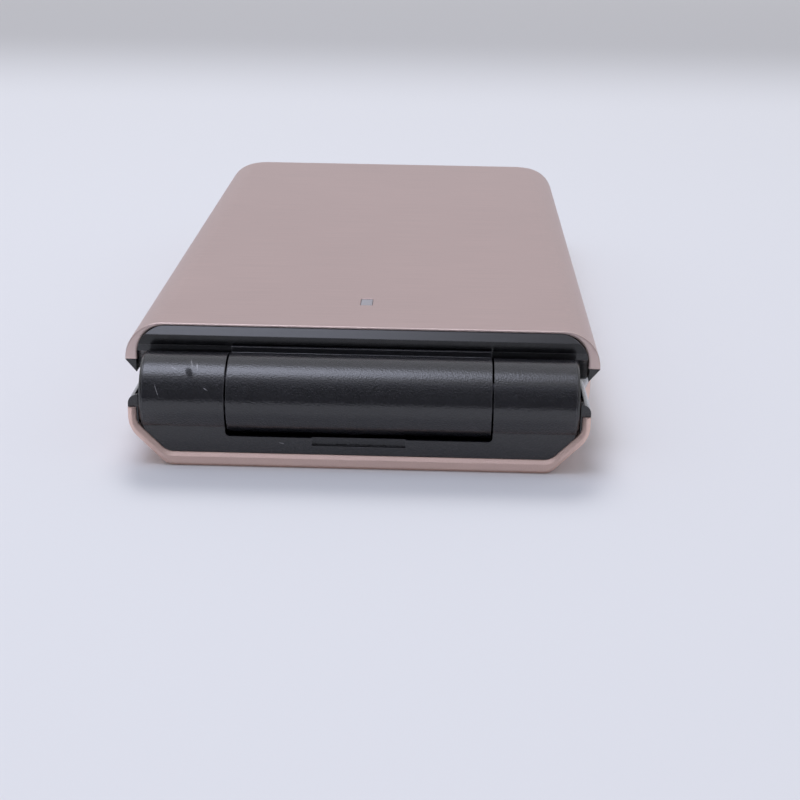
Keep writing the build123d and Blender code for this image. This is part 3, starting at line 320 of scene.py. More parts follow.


# Base frame and lid frame: mouldings of black polycarbonate with the three hinge barrels, sprayed with a
# base coat that carries metal flake and a clear gloss coat. The flake gives a grainy bright band under the
# lamp. Handling rubs the corners grey, and their grey also stands for a painted highlight along the edges;
# the left barrel is scratched and dented.

# The flakes are about 0.05 mm across, drawn four times as coarse so that they show.

flakes_per_metre = 4800.0
flake_relief = 0.000014
flake_lacquer, tree, shader, place = new_material(
    "flake_lacquered_polycarbonate", IOR=1.5, Specular_IOR_Level=0.35, Coat_Roughness=0.05, Coat_IOR=1.55,
)
# The edge grey is partly wear and partly a painted highlight along the edges.
body_colour, eased = weathered(
    tree, shader, place, fine=0.00019, broad=0.004, colours=("#08080b", "#17171e"), sheen=(0.28, 0.42),
    relief=0.0004, edge=0.00012, wear_and_highlight="#6f6f74",
)
flakes = add_node(tree, "ShaderNodeTexVoronoi", {}, {
    "Vector": place, "Scale": flakes_per_metre,
}).outputs["Distance"]
dimpled = add_node(tree, "ShaderNodeBump", {}, {
    "Height": flakes, "Distance": flake_relief, "Strength": 1.0, "Normal": eased,
}).outputs["Normal"]
tree.links.new(dimpled, shader.inputs["Coat Normal"])

mark_depth = 0.0009
rags_per_metre = 6000.0
ragged_depth = 2.0
mark_full_at, mark_gone_at = 1.1, 1.5
mark_most = 0.9


def mark_share(tree, place, spot, turn, half_length, half_width):
    """How much of a knock or scratch lies here: a long ragged patch laid on a spot, turned about Y."""
    moved = add_node(tree, "ShaderNodeVectorMath", {"operation": "SUBTRACT"}, {0: place, 1: spot})
    laid = add_node(tree, "ShaderNodeMapping", {"vector_type": "TEXTURE"}, {
        "Vector": moved.outputs["Vector"], "Rotation": (0, radians(turn), 0),
        "Scale": (half_length, mark_depth, half_width),
    }).outputs["Vector"]
    ragged = add_node(tree, "ShaderNodeTexNoise", {}, {
        "Vector": place, "Scale": rags_per_metre, "Detail": ragged_depth,
    }).outputs["Fac"]
    reach = add_node(tree, "ShaderNodeVectorMath", {"operation": "LENGTH"}, {0: laid}).outputs["Value"]
    reach = add_node(tree, "ShaderNodeMath", {"operation": "ADD"}, {0: reach, 1: ragged}).outputs[0]
    return add_node(tree, "ShaderNodeMapRange", {}, {
        "Value": reach, "From Min": mark_full_at, "From Max": mark_gone_at,
        "To Min": mark_most, "To Max": 0.0,
    }).outputs["Result"]


# The dent broke the gloss coat. A mark has its spot, turn in degrees, half length and half width.
dent = mark_share(tree, place, (-0.0208, -0.0584, 0.0118), 60, 0.0010, 0.0005)
coat = add_node(tree, "ShaderNodeMapRange", {}, {
    "Value": dent, "To Min": 1.0, "To Max": 0.0,
}).outputs["Result"]
tree.links.new(coat, shader.inputs["Coat Weight"])
scratches = (
    ((-0.0206, -0.0570, 0.0125), 65, 0.0006, 0.00012, "#77767a"),
    ((-0.0199, -0.0575, 0.0123), 75, 0.0005, 0.00008, "#8f8e92"),
    ((-0.0247, -0.0595, 0.0098), 70, 0.0011, 0.00005, "#8f8e92"),
    ((-0.0187, -0.0593, 0.0101), 30, 0.0004, 0.00006, "#8f8e92"),
    ((-0.0228, -0.0577, 0.0122), 20, 0.0005, 0.00005, "#77767a"),
    ((-0.0095, -0.0589, 0.0031), 15, 0.0004, 0.00010, "#6a696c"),
)
for spot, turn, half_length, half_width, colour in scratches:
    body_colour = add_node(tree, "ShaderNodeMix", {"data_type": "RGBA"}, {
        "Factor": mark_share(tree, place, spot, turn, half_length, half_width),
        6: body_colour, 7: linear(colour),
    }).outputs[2]
tree.links.new(body_colour, shader.inputs["Base Color"])
dress(("base_frame", "lid_frame"), flake_lacquer)


# Hinge caps and lid end trim: moulded in black polycarbonate with a polished tool, so they are glossy and
# clean. They are pushed and glued into their seats. The pale grey along their edges is a painted highlight.

polished_black, tree, shader, place = new_material("polished_black_polycarbonate", IOR=1.55)
weathered(
    tree, shader, place, fine=0.0008, broad=0.01, colours=("#070709", "#0f0f12"), sheen=(0.14, 0.22),
    relief=0.000002, edge=0.00015, wear_and_highlight="#a5a4a6",
)
dress(("lid_end_trim", "left_hinge_cap", "right_hinge_cap"), polished_black)


# Lid cover: aluminium shell, brushed across the phone before it was anodised rose gold, glued over
# the lid frame. The brush lines are about 0.05 mm apart, drawn three times as coarse so they show.
# The cut end round the hinge opening is turned bright after anodising, and its pale colour also stands for
# a painted highlight on that end face.

bright_to = 0.0001
plain_from = 0.0003
brushed_aluminium, tree, shader, place = new_material("anodised_brushed_aluminium", Metallic=0.9)
shell_colour = weathered(
    tree, shader, place, fine=0.00016, broad=0.02, colours=("#c3aca8", "#d3bcb7"), sheen=(0.39, 0.47),
    relief=0.000004, edge=0.0004, stretch=(0.015, 1, 1),
)[0]
cut_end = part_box("lid_cover")[0][1]
along = add_node(tree, "ShaderNodeSeparateXYZ", {}, {"Vector": place}).outputs["Y"]
cut_and_lit_edge = add_node(tree, "ShaderNodeMapRange", {}, {
    "Value": along, "From Min": cut_end + plain_from, "From Max": cut_end + bright_to,
}).outputs["Result"]
# The pale band at the cut end is the bright-cut metal and also a painted highlight on the end face.
shell_colour = add_node(tree, "ShaderNodeMix", {"data_type": "RGBA"}, {
    "Factor": cut_and_lit_edge, 6: shell_colour, 7: linear("#f0d9d2"),
}).outputs[2]
tree.links.new(shell_colour, shader.inputs["Base Color"])
dress(("lid_cover",), brushed_aluminium)


# Status window and flash window: light guides of milky acrylic, which blurs the lamp behind them.
# They are moulded as plain plugs and pressed into their openings.

milky_acrylic, tree, shader, place = new_material("milky_acrylic", IOR=1.49, Coat_Weight=0.4)
weathered(
    tree, shader, place, fine=0.0004, broad=0.002, colours=("#827f83", "#96939a"), sheen=(0.30, 0.42),
    relief=0.000002, edge=0.0001,
)
dress(("status_window", "flash_window"), milky_acrylic)


# Display glass: chemically strengthened glass, printed black on its inner side with a border round
# the dark grey active area and a round clear spot for the front camera.

def ringed(tree, place, middle, tone, rings):
    """A tone with round printed rings over it about an upright axis, each with a radius and colour."""
    away = add_node(tree, "ShaderNodeVectorMath", {"operation": "SUBTRACT"}, {0: place, 1: tuple(middle)})
    away = add_node(tree, "ShaderNodeVectorMath", {"operation": "MULTIPLY"}, {
        0: away.outputs["Vector"], 1: (1, 1, 0),
    })
    away = add_node(tree, "ShaderNodeVectorMath", {"operation": "LENGTH"}, {0: away.outputs["Vector"]})
    for radius, colour in rings:
        spot = add_node(tree, "ShaderNodeMath", {"operation": "LESS_THAN"}, {
            0: away.outputs["Value"], 1: radius,
        }).outputs[0]
        tone = add_node(tree, "ShaderNodeMix", {"data_type": "RGBA"}, {
            "Factor": spot, 6: tone, 7: linear(colour),
        }).outputs[2]
    return tone


screen_inset = 0.0008
smears_per_metre = 120.0
smear_depth = 4.0
smear_sheen = (0.03, 0.09)
glass_edge = 0.00015
glass_edge_samples = 4
lens_rings = ((0.0017, "#26272c"), (0.0014, "#06070a"), (0.0008, "#10182c"))
panel_low, panel_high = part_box("display_panel")
lens_low, lens_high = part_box("front_camera")
screen_glass, tree, shader, place = new_material("strengthened_glass", IOR=1.52)
screen_middle = (panel_low + panel_high) / 2
screen_half = (panel_high - panel_low) / 2
offset = add_node(tree, "ShaderNodeVectorMath", {"operation": "SUBTRACT"}, {
    0: place, 1: tuple(screen_middle),
})
offset = add_node(tree, "ShaderNodeVectorMath", {"operation": "ABSOLUTE"}, {0: offset.outputs["Vector"]})
offset = add_node(tree, "ShaderNodeSeparateXYZ", {}, {"Vector": offset.outputs["Vector"]})
inside = []
for axis, half in (("X", screen_half.x - screen_inset), ("Y", screen_half.y - screen_inset)):
    inside.append(add_node(tree, "ShaderNodeMath", {"operation": "LESS_THAN"}, {
        0: offset.outputs[axis], 1: half,
    }).outputs[0])
active = add_node(tree, "ShaderNodeMath", {"operation": "MULTIPLY"}, {
    0: inside[0], 1: inside[1],
}).outputs[0]
smears = add_node(tree, "ShaderNodeTexNoise", {}, {
    "Vector": place, "Scale": smears_per_metre, "Detail": smear_depth,
}).outputs["Fac"]
screen_tone = add_node(tree, "ShaderNodeMix", {"data_type": "RGBA"}, {
    "Factor": smears, 6: linear("#101115"), 7: linear("#14151a"),
}).outputs[2]
glass_tone = add_node(tree, "ShaderNodeMix", {"data_type": "RGBA"}, {
    "Factor": active, 6: linear("#040405"), 7: screen_tone,
}).outputs[2]
glass_tone = ringed(tree, place, (lens_low + lens_high) / 2, glass_tone, lens_rings)
tree.links.new(glass_tone, shader.inputs["Base Color"])
gloss = add_node(tree, "ShaderNodeMapRange", {}, {
    "Value": smears, "To Min": smear_sheen[0], "To Max": smear_sheen[1],
}).outputs["Result"]
tree.links.new(gloss, shader.inputs["Roughness"])
eased = add_node(tree, "ShaderNodeBevel", {"samples": glass_edge_samples}, {
    "Radius": glass_edge,
}).outputs["Normal"]
tree.links.new(eased, shader.inputs["Normal"])
dress(("display_glass",), screen_glass)


# Keypad plate: aluminium plate, painted satin black after its key openings were cut, screwed over
# the frame's cavity.

satin_paint, tree, shader, place = new_material("satin_black_paint", IOR=1.5)
weathered(
    tree, shader, place, fine=0.0002, broad=0.008, colours=("#201f22", "#28272b"), sheen=(0.36, 0.44),
    relief=0.000004, edge=0.00012,
)
dress(("keypad_plate",), satin_paint)


# Keys: caps moulded in polycarbonate and soft-touch coated, with their marks printed on top in
# ink. The phone is held with its hinge away from the reader, so the marks stand towards the hinge.

cap_coat, tree, shader, place = new_material("soft_touch_key_caps", IOR=1.48)
weathered(
    tree, shader, place, fine=0.00018, broad=0.004, colours=("#1b1a1d", "#232226"), sheen=(0.42, 0.50),
    relief=0.000006, edge=0.0002,
)
digit_keys = {"key_star": "*", "key_0": "0", "key_hash": "#"}
digit_keys.update({f"key_{number}": str(number) for number in range(1, 10)})
mark_keys = ("call_key", "clear_key", "end_key", "left_soft_key", "right_soft_key", "ok_key")
dress((*digit_keys, *mark_keys), cap_coat)

inks = {}
for name, colours in (
    ("pale_key_ink", ("#c9c6c4", "#d6d3d1")),
    ("green_key_ink", ("#3d9a5a", "#4aa868")),
    ("red_key_ink", ("#b9443f", "#c8524c")),
):
    inks[name], tree, shader, place = new_material(name, IOR=1.5)
    weathered(
        tree, shader, place, fine=0.0001, broad=0.001, colours=colours, sheen=(0.48, 0.58),
        relief=0.000002, edge=0.00002,
    )
ink_thickness = 0.00002
digit_height = 0.0042
digit_share = 0.7
digit_smoothness = 6


def key_top(body):
    """Middle of a key's top face."""
    low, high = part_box(body)
    return Vector(((low.x + high.x) / 2, (low.y + high.y) / 2, high.z))


def settle(piece, body):
    """A finished piece rides on its body."""
    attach(piece, body)


def printed_digit(body, text):
    """A number as printed ink on a key, turned to face the reader."""
    curve = bpy.data.curves.new(body + "_curve", "FONT")
    curve.body = text
    curve.size = digit_height / digit_share
    curve.extrude = ink_thickness / 2
    curve.resolution_u = digit_smoothness
    holder = bpy.data.objects.new(body + "_curve", curve)
    scene.collection.objects.link(holder)
    bpy.context.view_layer.update()
    mesh = bpy.data.meshes.new_from_object(holder.evaluated_get(bpy.context.evaluated_depsgraph_get()))
    bpy.data.objects.remove(holder)
    bpy.data.curves.remove(curve)
    corners = [v.co for v in mesh.vertices]
    middle = Vector((
        (min(c.x for c in corners) + max(c.x for c in corners)) / 2,
        (min(c.y for c in corners) + max(c.y for c in corners)) / 2,
        -ink_thickness / 2,
    ))
    turned = Matrix.Translation(key_top(body)) @ Matrix.Rotation(pi, 4, "Z")
    mesh.transform(turned @ Matrix.Translation(-middle))
    mesh.materials.clear()
    mesh.materials.append(inks["pale_key_ink"])
    piece = bpy.data.objects.new("mark_" + body, mesh)
    scene.collection.objects.link(piece)
    settle(piece, body)


for body, text in digit_keys.items():
    printed_digit(body, text)


def prism(outline, low, high):
    """Vertices and faces of an upright prism over a closed outline that runs anticlockwise."""
    count = len(outline)
    vertices = [(x, y, low) for x, y in outline] + [(x, y, high) for x, y in outline]
    faces = [tuple(reversed(range(count))), tuple(range(count, 2 * count))]
    faces += [(i, (i + 1) % count, (i + 1) % count + count, i + count) for i in range(count)]
    return vertices, faces


def printed_mark(name, body, outline, ink):
    """A printed mark on a key, from an outline about the middle of the key's top."""
    spot = key_top(body)
    moved = [(spot.x + x, spot.y + y) for x, y in outline]
    vertices, faces = prism(moved, spot.z, spot.z + ink_thickness)
    settle(new_piece(name, vertices, faces, inks[ink]), body)


def disc_outline(x, y, radius, count=20):
    """Points round a small disc."""
    turns = [2 * pi * step / count for step in range(count)]
    return [(x + radius * cos(turn), y + radius * sin(turn)) for turn in turns]


receiver_bow = 0.0022
receiver_sweep = radians(62)
receiver_points = 17
cup_from = 0.68
cup_half = 0.00062
grip_half = 0.00032


def receiver_outline(upward):
    """A telephone receiver: a bowed bar with a wider cup at each end."""
    outer = []
    inner = []
    for step in range(receiver_points):
        along = -1 + 2 * step / (receiver_points - 1)
        turn = along * receiver_sweep
        half = cup_half if abs(along) > cup_from else grip_half
        for rim, reach in ((outer, receiver_bow + half), (inner, receiver_bow - half)):
            rim.append((reach * sin(turn), upward * (reach * cos(turn) - receiver_bow)))
    outline = outer + inner[::-1]
    return outline[::-1] if upward > 0 else outline


bar_half, bar_stroke = 0.0016, 0.0002
bar = [(-bar_half, -bar_stroke), (bar_half, -bar_stroke), (bar_half, bar_stroke), (-bar_half, bar_stroke)]
arrow_half, arrow_head, arrow_stroke = 0.0014, 0.0012, 0.0003
arrow = [
    (arrow_half, 0.0), (0.0, arrow_head), (0.0, arrow_stroke), (-arrow_half, arrow_stroke),
    (-arrow_half, -arrow_stroke), (0.0, -arrow_stroke), (0.0, -arrow_head),
]
ok_mark_radius = 0.0007
printed_mark("mark_call_key", "call_key", receiver_outline(-1), "green_key_ink")
printed_mark("mark_end_key", "end_key", receiver_outline(1), "red_key_ink")
printed_mark("mark_clear_key", "clear_key", arrow, "pale_key_ink")
for body in ("left_soft_key", "right_soft_key"):
    printed_mark("mark_" + body, body, bar, "pale_key_ink")
printed_mark("mark_ok_key", "ok_key", disc_outline(0, 0, ok_mark_radius), "pale_key_ink")

# Raised dot on the middle number key, moulded with the cap, for finding the key by touch.
dot_radius = 0.0004
dot_height = 0.00016
dot_offset = 0.003
dot_spot = key_top("key_5") + Vector((0, dot_offset, 0))
rings = 5
around_dot = 16
vertices = []
for ring in range(rings):
    swing = ring / rings * pi / 2
    for x, y in disc_outline(dot_spot.x, dot_spot.y, dot_radius * cos(swing), around_dot):
        vertices.append((x, y, dot_spot.z + dot_height * sin(swing)))
vertices.append((dot_spot.x, dot_spot.y, dot_spot.z + dot_height))
faces = [tuple(reversed(range(around_dot)))]
for ring in range(rings - 1):
    start = ring * around_dot
    for step in range(around_dot):
        beside = (step + 1) % around_dot
        faces.append((
            start + step, start + beside, start + beside + around_dot, start + step + around_dot,
        ))
crown = (rings - 1) * around_dot
faces += [(crown + step, crown + (step + 1) % around_dot, len(vertices) - 1) for step in range(around_dot)]
settle(new_piece("touch_dot", vertices, faces, cap_coat), "key_5")


# Navigation ring: an aluminium ring, satin anodised rose gold like the covers, glued on its key
# pad, with a small dot of ink at each side.

satin_ring, tree, shader, place = new_material("anodised_satin_aluminium", Metallic=1.0)
weathered(
    tree, shader, place, fine=0.00012, broad=0.006, colours=("#ae8f8d", "#bb9c99"), sheen=(0.28, 0.36),
    relief=0.000003, edge=0.0002,
)
dress(("navigation_ring",), satin_ring)
ring_low, ring_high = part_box("navigation_ring")
ring_dot_inset = 0.0032
ring_dot_radius = 0.0004
ring_dot_reach = (ring_high - ring_low) / 2 - Vector((ring_dot_inset, ring_dot_inset, 0))
for name, x, y in (
    ("ring_dot_left", ring_dot_reach.x, 0), ("ring_dot_right", -ring_dot_reach.x, 0),
    ("ring_dot_up", 0, -ring_dot_reach.y), ("ring_dot_down", 0, ring_dot_reach.y),
):
    printed_mark(name, "navigation_ring", disc_outline(x, y, ring_dot_radius), "pale_key_ink")


# Rear camera: its window is glass with a black print, glued into the battery cover's opening. A
# ring turned from steel and polished lies round it.

lens_smears_per_metre = 700.0
lens_smear_depth = 3.0
lens_smear_sheen = (0.03, 0.10)
camera_rings = ((0.0024, "#2a2b30"), (0.0021, "#08090c"), (0.0012, "#121a30"), (0.0006, "#05060a"))
camera_glass, tree, shader, place = new_material("printed_camera_glass", IOR=1.52)
camera_low, camera_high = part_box("camera_window")
camera_middle = (camera_low + camera_high) / 2
lens_smears = add_node(tree, "ShaderNodeTexNoise", {}, {
    "Vector": place, "Scale": lens_smears_per_metre, "Detail": lens_smear_depth,
}).outputs["Fac"]
window_tone = add_node(tree, "ShaderNodeMix", {"data_type": "RGBA"}, {
    "Factor": lens_smears, 6: linear("#060607"), 7: linear("#0b0b0d"),
}).outputs[2]
window_tone = ringed(tree, place, camera_middle, window_tone, camera_rings)
tree.links.new(window_tone, shader.inputs["Base Color"])
gloss = add_node(tree, "ShaderNodeMapRange", {}, {
    "Value": lens_smears, "To Min": lens_smear_sheen[0], "To Max": lens_smear_sheen[1],
}).outputs["Result"]
tree.links.new(gloss, shader.inputs["Roughness"])
dress(("camera_window",), camera_glass)

bright_steel, tree, shader, place = new_material("polished_steel", Metallic=1.0)
weathered(
    tree, shader, place, fine=0.0002, broad=0.003, colours=("#b9b7b8", "#cbc9ca"), sheen=(0.12, 0.20),
    relief=0.000002, edge=0.00006,
)
# The ring's section is a low bar with two bevels, given as steps inwards and downwards from its rim.
ring_outer = (camera_high.x - camera_low.x) / 2
ring_width, ring_height = 0.00045, 0.00013
rim_bevel, well_bevel = 0.00008, 0.0001
rim_height, well_height = 0.00008, 0.00006
ring_profile = (
    (0.0, 0.0), (0.0, rim_height), (rim_bevel, ring_height), (ring_width - well_bevel, ring_height),
    (ring_width, well_height), (ring_width, 0.0),
)
ring_steps = 64
vertices = []
faces = []
for step in range(ring_steps):
    turn = 2 * pi * step / ring_steps
    for inward, drop in ring_profile:
        reach = ring_outer - inward
        x, y = camera_middle.x + reach * cos(turn), camera_middle.y + reach * sin(turn)
        vertices.append((x, y, camera_low.z - drop))
size = len(ring_profile)
for step in range(ring_steps):
    after = (step + 1) % ring_steps
    for corner in range(size):
        beyond = (corner + 1) % size
        faces.append((
            step * size + corner, step * size + beyond, after * size + beyond, after * size + corner,
        ))
settle(new_piece("camera_ring", vertices, faces, bright_steel), "base")


# Loudspeaker and earpiece weaves: fine black steel cloth that keeps dust out behind the slots and
# in the display glass. The wires are 0.08 mm thick at 0.35 mm, drawn coarser than real cloth.

def group_input(tree, name, kind, default):
    """A named input of a node group."""
    socket = tree.interface.new_socket(name, in_out="INPUT", socket_type=kind)
    if default is not None:
        socket.default_value = default


def baked(name, tree, values, material, spot):
    """The result of a node group as a plain mesh object at the origin, with its place in its mesh."""
    seed = bpy.data.meshes.new(name + "_seed")
    holder = bpy.data.objects.new(name + "_seed", seed)
    scene.collection.objects.link(holder)
    modifier = holder.modifiers.new("build", "NODES")
    modifier.node_group = tree
    for item in tree.interface.items_tree:
        if item.item_type == "SOCKET" and item.in_out == "INPUT" and item.name in values:
            modifier[item.identifier] = values[item.name]
    bpy.context.view_layer.update()
    mesh = bpy.data.meshes.new_from_object(holder.evaluated_get(bpy.context.evaluated_depsgraph_get()))
    bpy.data.objects.remove(holder)
    mesh.transform(Matrix.Translation(spot))
    mesh.name = name
    if not mesh.materials:
        mesh.materials.append(material)
    piece = bpy.data.objects.new(name, mesh)
    scene.collection.objects.link(piece)
    return piece


weave_wire, tree, shader, place = new_material("blackened_steel_wire", Metallic=1.0)
weathered(
    tree, shader, place, fine=0.00008, broad=0.001, colours=("#38373a", "#4b4a4d"), sheen=(0.35, 0.45),
    relief=0.000002, edge=0.00001,
)
weave = bpy.data.node_groups.new("wire_weave", "GeometryNodeTree")
for name, kind, default in (
    ("Half Width", "NodeSocketFloat", 0.005), ("Half Depth", "NodeSocketFloat", 0.005),
    ("Warp Wires", "NodeSocketInt", 10), ("Weft Wires", "NodeSocketInt", 10),
    ("Wire Radius", "NodeSocketFloat", 0.00004), ("Material", "NodeSocketMaterial", None),
):
    group_input(weave, name, kind, default)
weave.interface.new_socket("Geometry", in_out="OUTPUT", socket_type="NodeSocketGeometry")
given = add_node(weave, "NodeGroupInput", {}, {}).outputs
wire_sides = 6
layer_lift = 1.6
profile = add_node(weave, "GeometryNodeCurvePrimitiveCircle", {}, {
    "Resolution": wire_sides, "Radius": given["Wire Radius"],
}).outputs["Curve"]
layers = []
for run, spread, count, lift in (("Y", "X", "Warp Wires", 0), ("X", "Y", "Weft Wires", 1)):
    reach = {"X": given["Half Width"], "Y": given["Half Depth"]}
    back = {
        axis: add_node(weave, "ShaderNodeMath", {"operation": "MULTIPLY"}, {
            0: reach[axis], 1: -1.0,
        }).outputs[0]
        for axis in ("X", "Y")
    }
    height = add_node(weave, "ShaderNodeMath", {"operation": "MULTIPLY"}, {
        0: given["Wire Radius"], 1: layer_lift * lift,
    }).outputs[0]
    wire_ends = [
        add_node(weave, "ShaderNodeCombineXYZ", {}, {run: end[run], "Z": height}).outputs[0]
        for end in (back, reach)
    ]
    row_ends = [
        add_node(weave, "ShaderNodeCombineXYZ", {}, {spread: end[spread]}).outputs[0]
        for end in (back, reach)
    ]
    wire = add_node(weave, "GeometryNodeCurvePrimitiveLine", {}, {
        "Start": wire_ends[0], "End": wire_ends[1],
    }).outputs["Curve"]
    wire = add_node(weave, "GeometryNodeCurveToMesh", {}, {
        "Curve": wire, "Profile Curve": profile, "Fill Caps": True,
    }).outputs["Mesh"]
    row = add_node(weave, "GeometryNodeMeshLine", {"mode": "END_POINTS"}, {
        "Count": given[count], "Start Location": row_ends[0], "Offset": row_ends[1],
    }).outputs["Mesh"]
    layers.append(add_node(weave, "GeometryNodeInstanceOnPoints", {}, {
        "Points": row, "Instance": wire,
    }).outputs["Instances"])
joined = add_node(weave, "GeometryNodeJoinGeometry", {}, {})
for layer in layers:
    weave.links.new(layer, joined.inputs["Geometry"])
solid = add_node(weave, "GeometryNodeRealizeInstances", {}, {
    "Geometry": joined.outputs["Geometry"],
}).outputs[0]
coated = add_node(weave, "GeometryNodeSetMaterial", {}, {
    "Geometry": solid, "Material": given["Material"],
}).outputs["Geometry"]
add_node(weave, "NodeGroupOutput", {}, {"Geometry": coated})

wire_radius = 0.00004
wire_pitch = 0.00035
slots_half = Vector((0.0062, 0.0044))
cover_inner = 0.00106
weave_border = 0.00012
below_plate = 2.2 * wire_radius
speaker_low, speaker_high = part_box("loudspeaker")
speaker_middle = (speaker_low + speaker_high) / 2
mesh_low, mesh_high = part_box("earpiece_mesh")
mesh_middle = (mesh_low + mesh_high) / 2
mesh_half = (mesh_high - mesh_low) / 2
for name, body, half_width, half_depth, spot in (
    ("speaker_weave", "base", slots_half.x, slots_half.y,
     Vector((speaker_middle.x, speaker_middle.y, cover_inner))),
    ("earpiece_weave", "lid", mesh_half.x - weave_border, mesh_half.y - weave_border,
     Vector((mesh_middle.x, mesh_middle.y, mesh_low.z - below_plate))),
):
    settle(
        baked(name, weave, {
            "Half Width": half_width, "Half Depth": half_depth,
            "Warp Wires": round(2 * half_width / wire_pitch),
            "Weft Wires": round(2 * half_depth / wire_pitch),
            "Wire Radius": wire_radius, "Material": weave_wire,
        }, weave_wire, spot),
        body,
    )


# Charging socket: a folded steel shell round a flat tongue, which carries a row of gold-plated
# contacts on each side. It is soldered to the edge of the main board.

contact_gold, tree, shader, place = new_material("gold_plated_contacts", Metallic=1.0)
weathered(
    tree, shader, place, fine=0.0001, broad=0.001, colours=("#c79a4b", "#d6ac5f"), sheen=(0.22, 0.30),
    relief=0.000001, edge=0.00002,
)
contacts = bpy.data.node_groups.new("contact_row", "GeometryNodeTree")
for name, kind, default in (
    ("Count", "NodeSocketInt", 12), ("Half Row", "NodeSocketFloat", 0.002),
    ("Size", "NodeSocketVector", None), ("Gap", "NodeSocketFloat", 0.0007),
    ("Material", "NodeSocketMaterial", None),
):
    group_input(contacts, name, kind, default)
contacts.interface.new_socket("Geometry", in_out="OUTPUT", socket_type="NodeSocketGeometry")
given = add_node(contacts, "NodeGroupInput", {}, {}).outputs
pad = add_node(contacts, "GeometryNodeMeshCube", {}, {"Size": given["Size"]}).outputs["Mesh"]
row_end = add_node(contacts, "ShaderNodeMath", {"operation": "MULTIPLY"}, {
    0: given["Half Row"], 1: -1.0,
}).outputs[0]
joined = add_node(contacts, "GeometryNodeJoinGeometry", {}, {})
for face in (-0.5, 0.5):
    height = add_node(contacts, "ShaderNodeMath", {"operation": "MULTIPLY"}, {
        0: given["Gap"], 1: face,
    }).outputs[0]
    ends = [
        add_node(contacts, "ShaderNodeCombineXYZ", {}, {"X": end, "Z": height}).outputs[0]
        for end in (row_end, given["Half Row"])
    ]
    row = add_node(contacts, "GeometryNodeMeshLine", {"mode": "END_POINTS"}, {
        "Count": given["Count"], "Start Location": ends[0], "Offset": ends[1],
    }).outputs["Mesh"]
    pads = add_node(contacts, "GeometryNodeInstanceOnPoints", {}, {"Points": row, "Instance": pad})
    contacts.links.new(pads.outputs["Instances"], joined.inputs["Geometry"])
solid = add_node(contacts, "GeometryNodeRealizeInstances", {}, {
    "Geometry": joined.outputs["Geometry"],
}).outputs[0]
coated = add_node(contacts, "GeometryNodeSetMaterial", {}, {
    "Geometry": solid, "Material": given["Material"],
}).outputs["Geometry"]
add_node(contacts, "NodeGroupOutput", {}, {"Geometry": coated})

socket_low, socket_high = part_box("usb_socket")
tongue_thickness = 0.0007
pad_count = 12
pad_row_half = 0.00215
pad_size = (0.00022, 0.0034, 0.00002)
mouth_gap = 0.0006
settle(
    baked("socket_contacts", contacts, {
        "Count": pad_count, "Half Row": pad_row_half, "Size": pad_size, "Gap": tongue_thickness,
        "Material": contact_gold,
    }, contact_gold, Vector((
        (socket_low.x + socket_high.x) / 2,
        socket_high.y - mouth_gap - pad_size[1] / 2,
        (socket_low.z + socket_high.z) / 2,
    ))),
    "base",
)


# Bright steel pieces: charging socket's shell, hinge cartridge, battery contacts, shields and
# brackets, of cold rolled or drawn steel with a nickel coat, pressed, turned or coiled.

nickel_steel, tree, shader, place = new_material("nickel_plated_steel", Metallic=1.0)
weathered(
    tree, shader, place, fine=0.0003, broad=0.004, colours=("#8d8c8e", "#a09fa1"), sheen=(0.26, 0.38),
    relief=0.000003, edge=0.0001, stretch=(0.2, 1, 1),
)
dress(
    ("usb_socket", "battery_contacts", "hinge_case", "hinge_spring", "follower_cam",
     "shield_can", "dome_sheet", "card_reader", "vibration_motor", "display_bracket"),
    nickel_steel,
)


# Dark steel pieces: screws, earpiece plate, hinge shaft and its sleeve, turned or punched from
# steel with a black zinc coat, so that the hinge's two seams stay dark.

black_zinc, tree, shader, place = new_material("black_zinc_steel", Metallic=1.0)
weathered(
    tree, shader, place, fine=0.00015, broad=0.001, colours=("#2c2b2e", "#3a393c"), sheen=(0.30, 0.42),
    relief=0.000003, edge=0.00008,
)
dress(
    ("base_screws", "lid_screws", "earpiece_mesh", "pivot_sleeve", "hinge_shaft"),
    black_zinc,
)


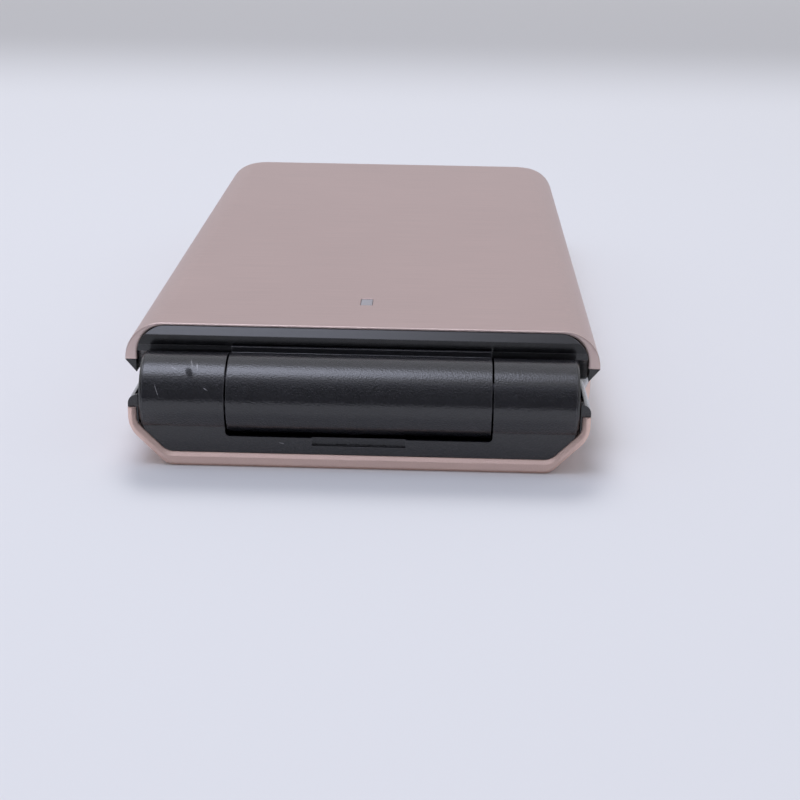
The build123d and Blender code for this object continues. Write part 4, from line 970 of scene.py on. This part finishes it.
# Sealed modules: cameras, loudspeaker, earpiece, headset socket and display panel, in matt black
# filled nylon as it comes from a spark-eroded mould.

filled_nylon, tree, shader, place = new_material("filled_black_nylon", IOR=1.53)
weathered(
    tree, shader, place, fine=0.00025, broad=0.003, colours=("#121213", "#1c1c1d"), sheen=(0.55, 0.66),
    relief=0.00001, edge=0.0001,
)
dress(
    ("headset_socket", "rear_camera", "front_camera", "loudspeaker", "earpiece", "display_panel"),
    filled_nylon,
)


# Battery pack: a flat cell in dark polyester film, which is shrunk round it with heat and lies
# loosely creased over its corners. It drops into its bay in the base.

cell_film, tree, shader, place = new_material("shrunk_polyester_film", IOR=1.57)
weathered(
    tree, shader, place, fine=0.0012, broad=0.01, colours=("#222224", "#2c2c2f"), sheen=(0.32, 0.44),
    relief=0.00003, edge=0.0003,
)
dress(("battery_pack",), cell_film)


# Rubber bumpers: small pads of black silicone rubber, glued into the lid's inner face so that it
# closes softly.

silicone, tree, shader, place = new_material("black_silicone_rubber", IOR=1.42)
weathered(
    tree, shader, place, fine=0.0003, broad=0.002, colours=("#161617", "#1e1e1f"), sheen=(0.60, 0.72),
    relief=0.000006, edge=0.0002,
)
dress(("lid_bumpers",), silicone)


# Circuit boards: glass-fibre laminate, milled to shape and coated with green solder mask, which
# shows the weave faintly. They are screwed down inside the base and the lid.

solder_mask, tree, shader, place = new_material("green_solder_mask", IOR=1.5)
weathered(
    tree, shader, place, fine=0.0005, broad=0.005, colours=("#0c331d", "#124427"), sheen=(0.30, 0.42),
    relief=0.000008, edge=0.0001,
)
dress(("main_board", "lid_board"), solder_mask)


# Display flex: a printed circuit on amber polyimide film, which joins the lid's board to the
# base's. It is rolled up inside the hinge so that it can twist.

amber_film, tree, shader, place = new_material("amber_polyimide_film", IOR=1.7)
weathered(
    tree, shader, place, fine=0.0004, broad=0.003, colours=("#99591a", "#b26e26"), sheen=(0.26, 0.36),
    relief=0.000003, edge=0.00005, stretch=(1, 0.1, 1),
)
dress(("display_flex",), amber_film)
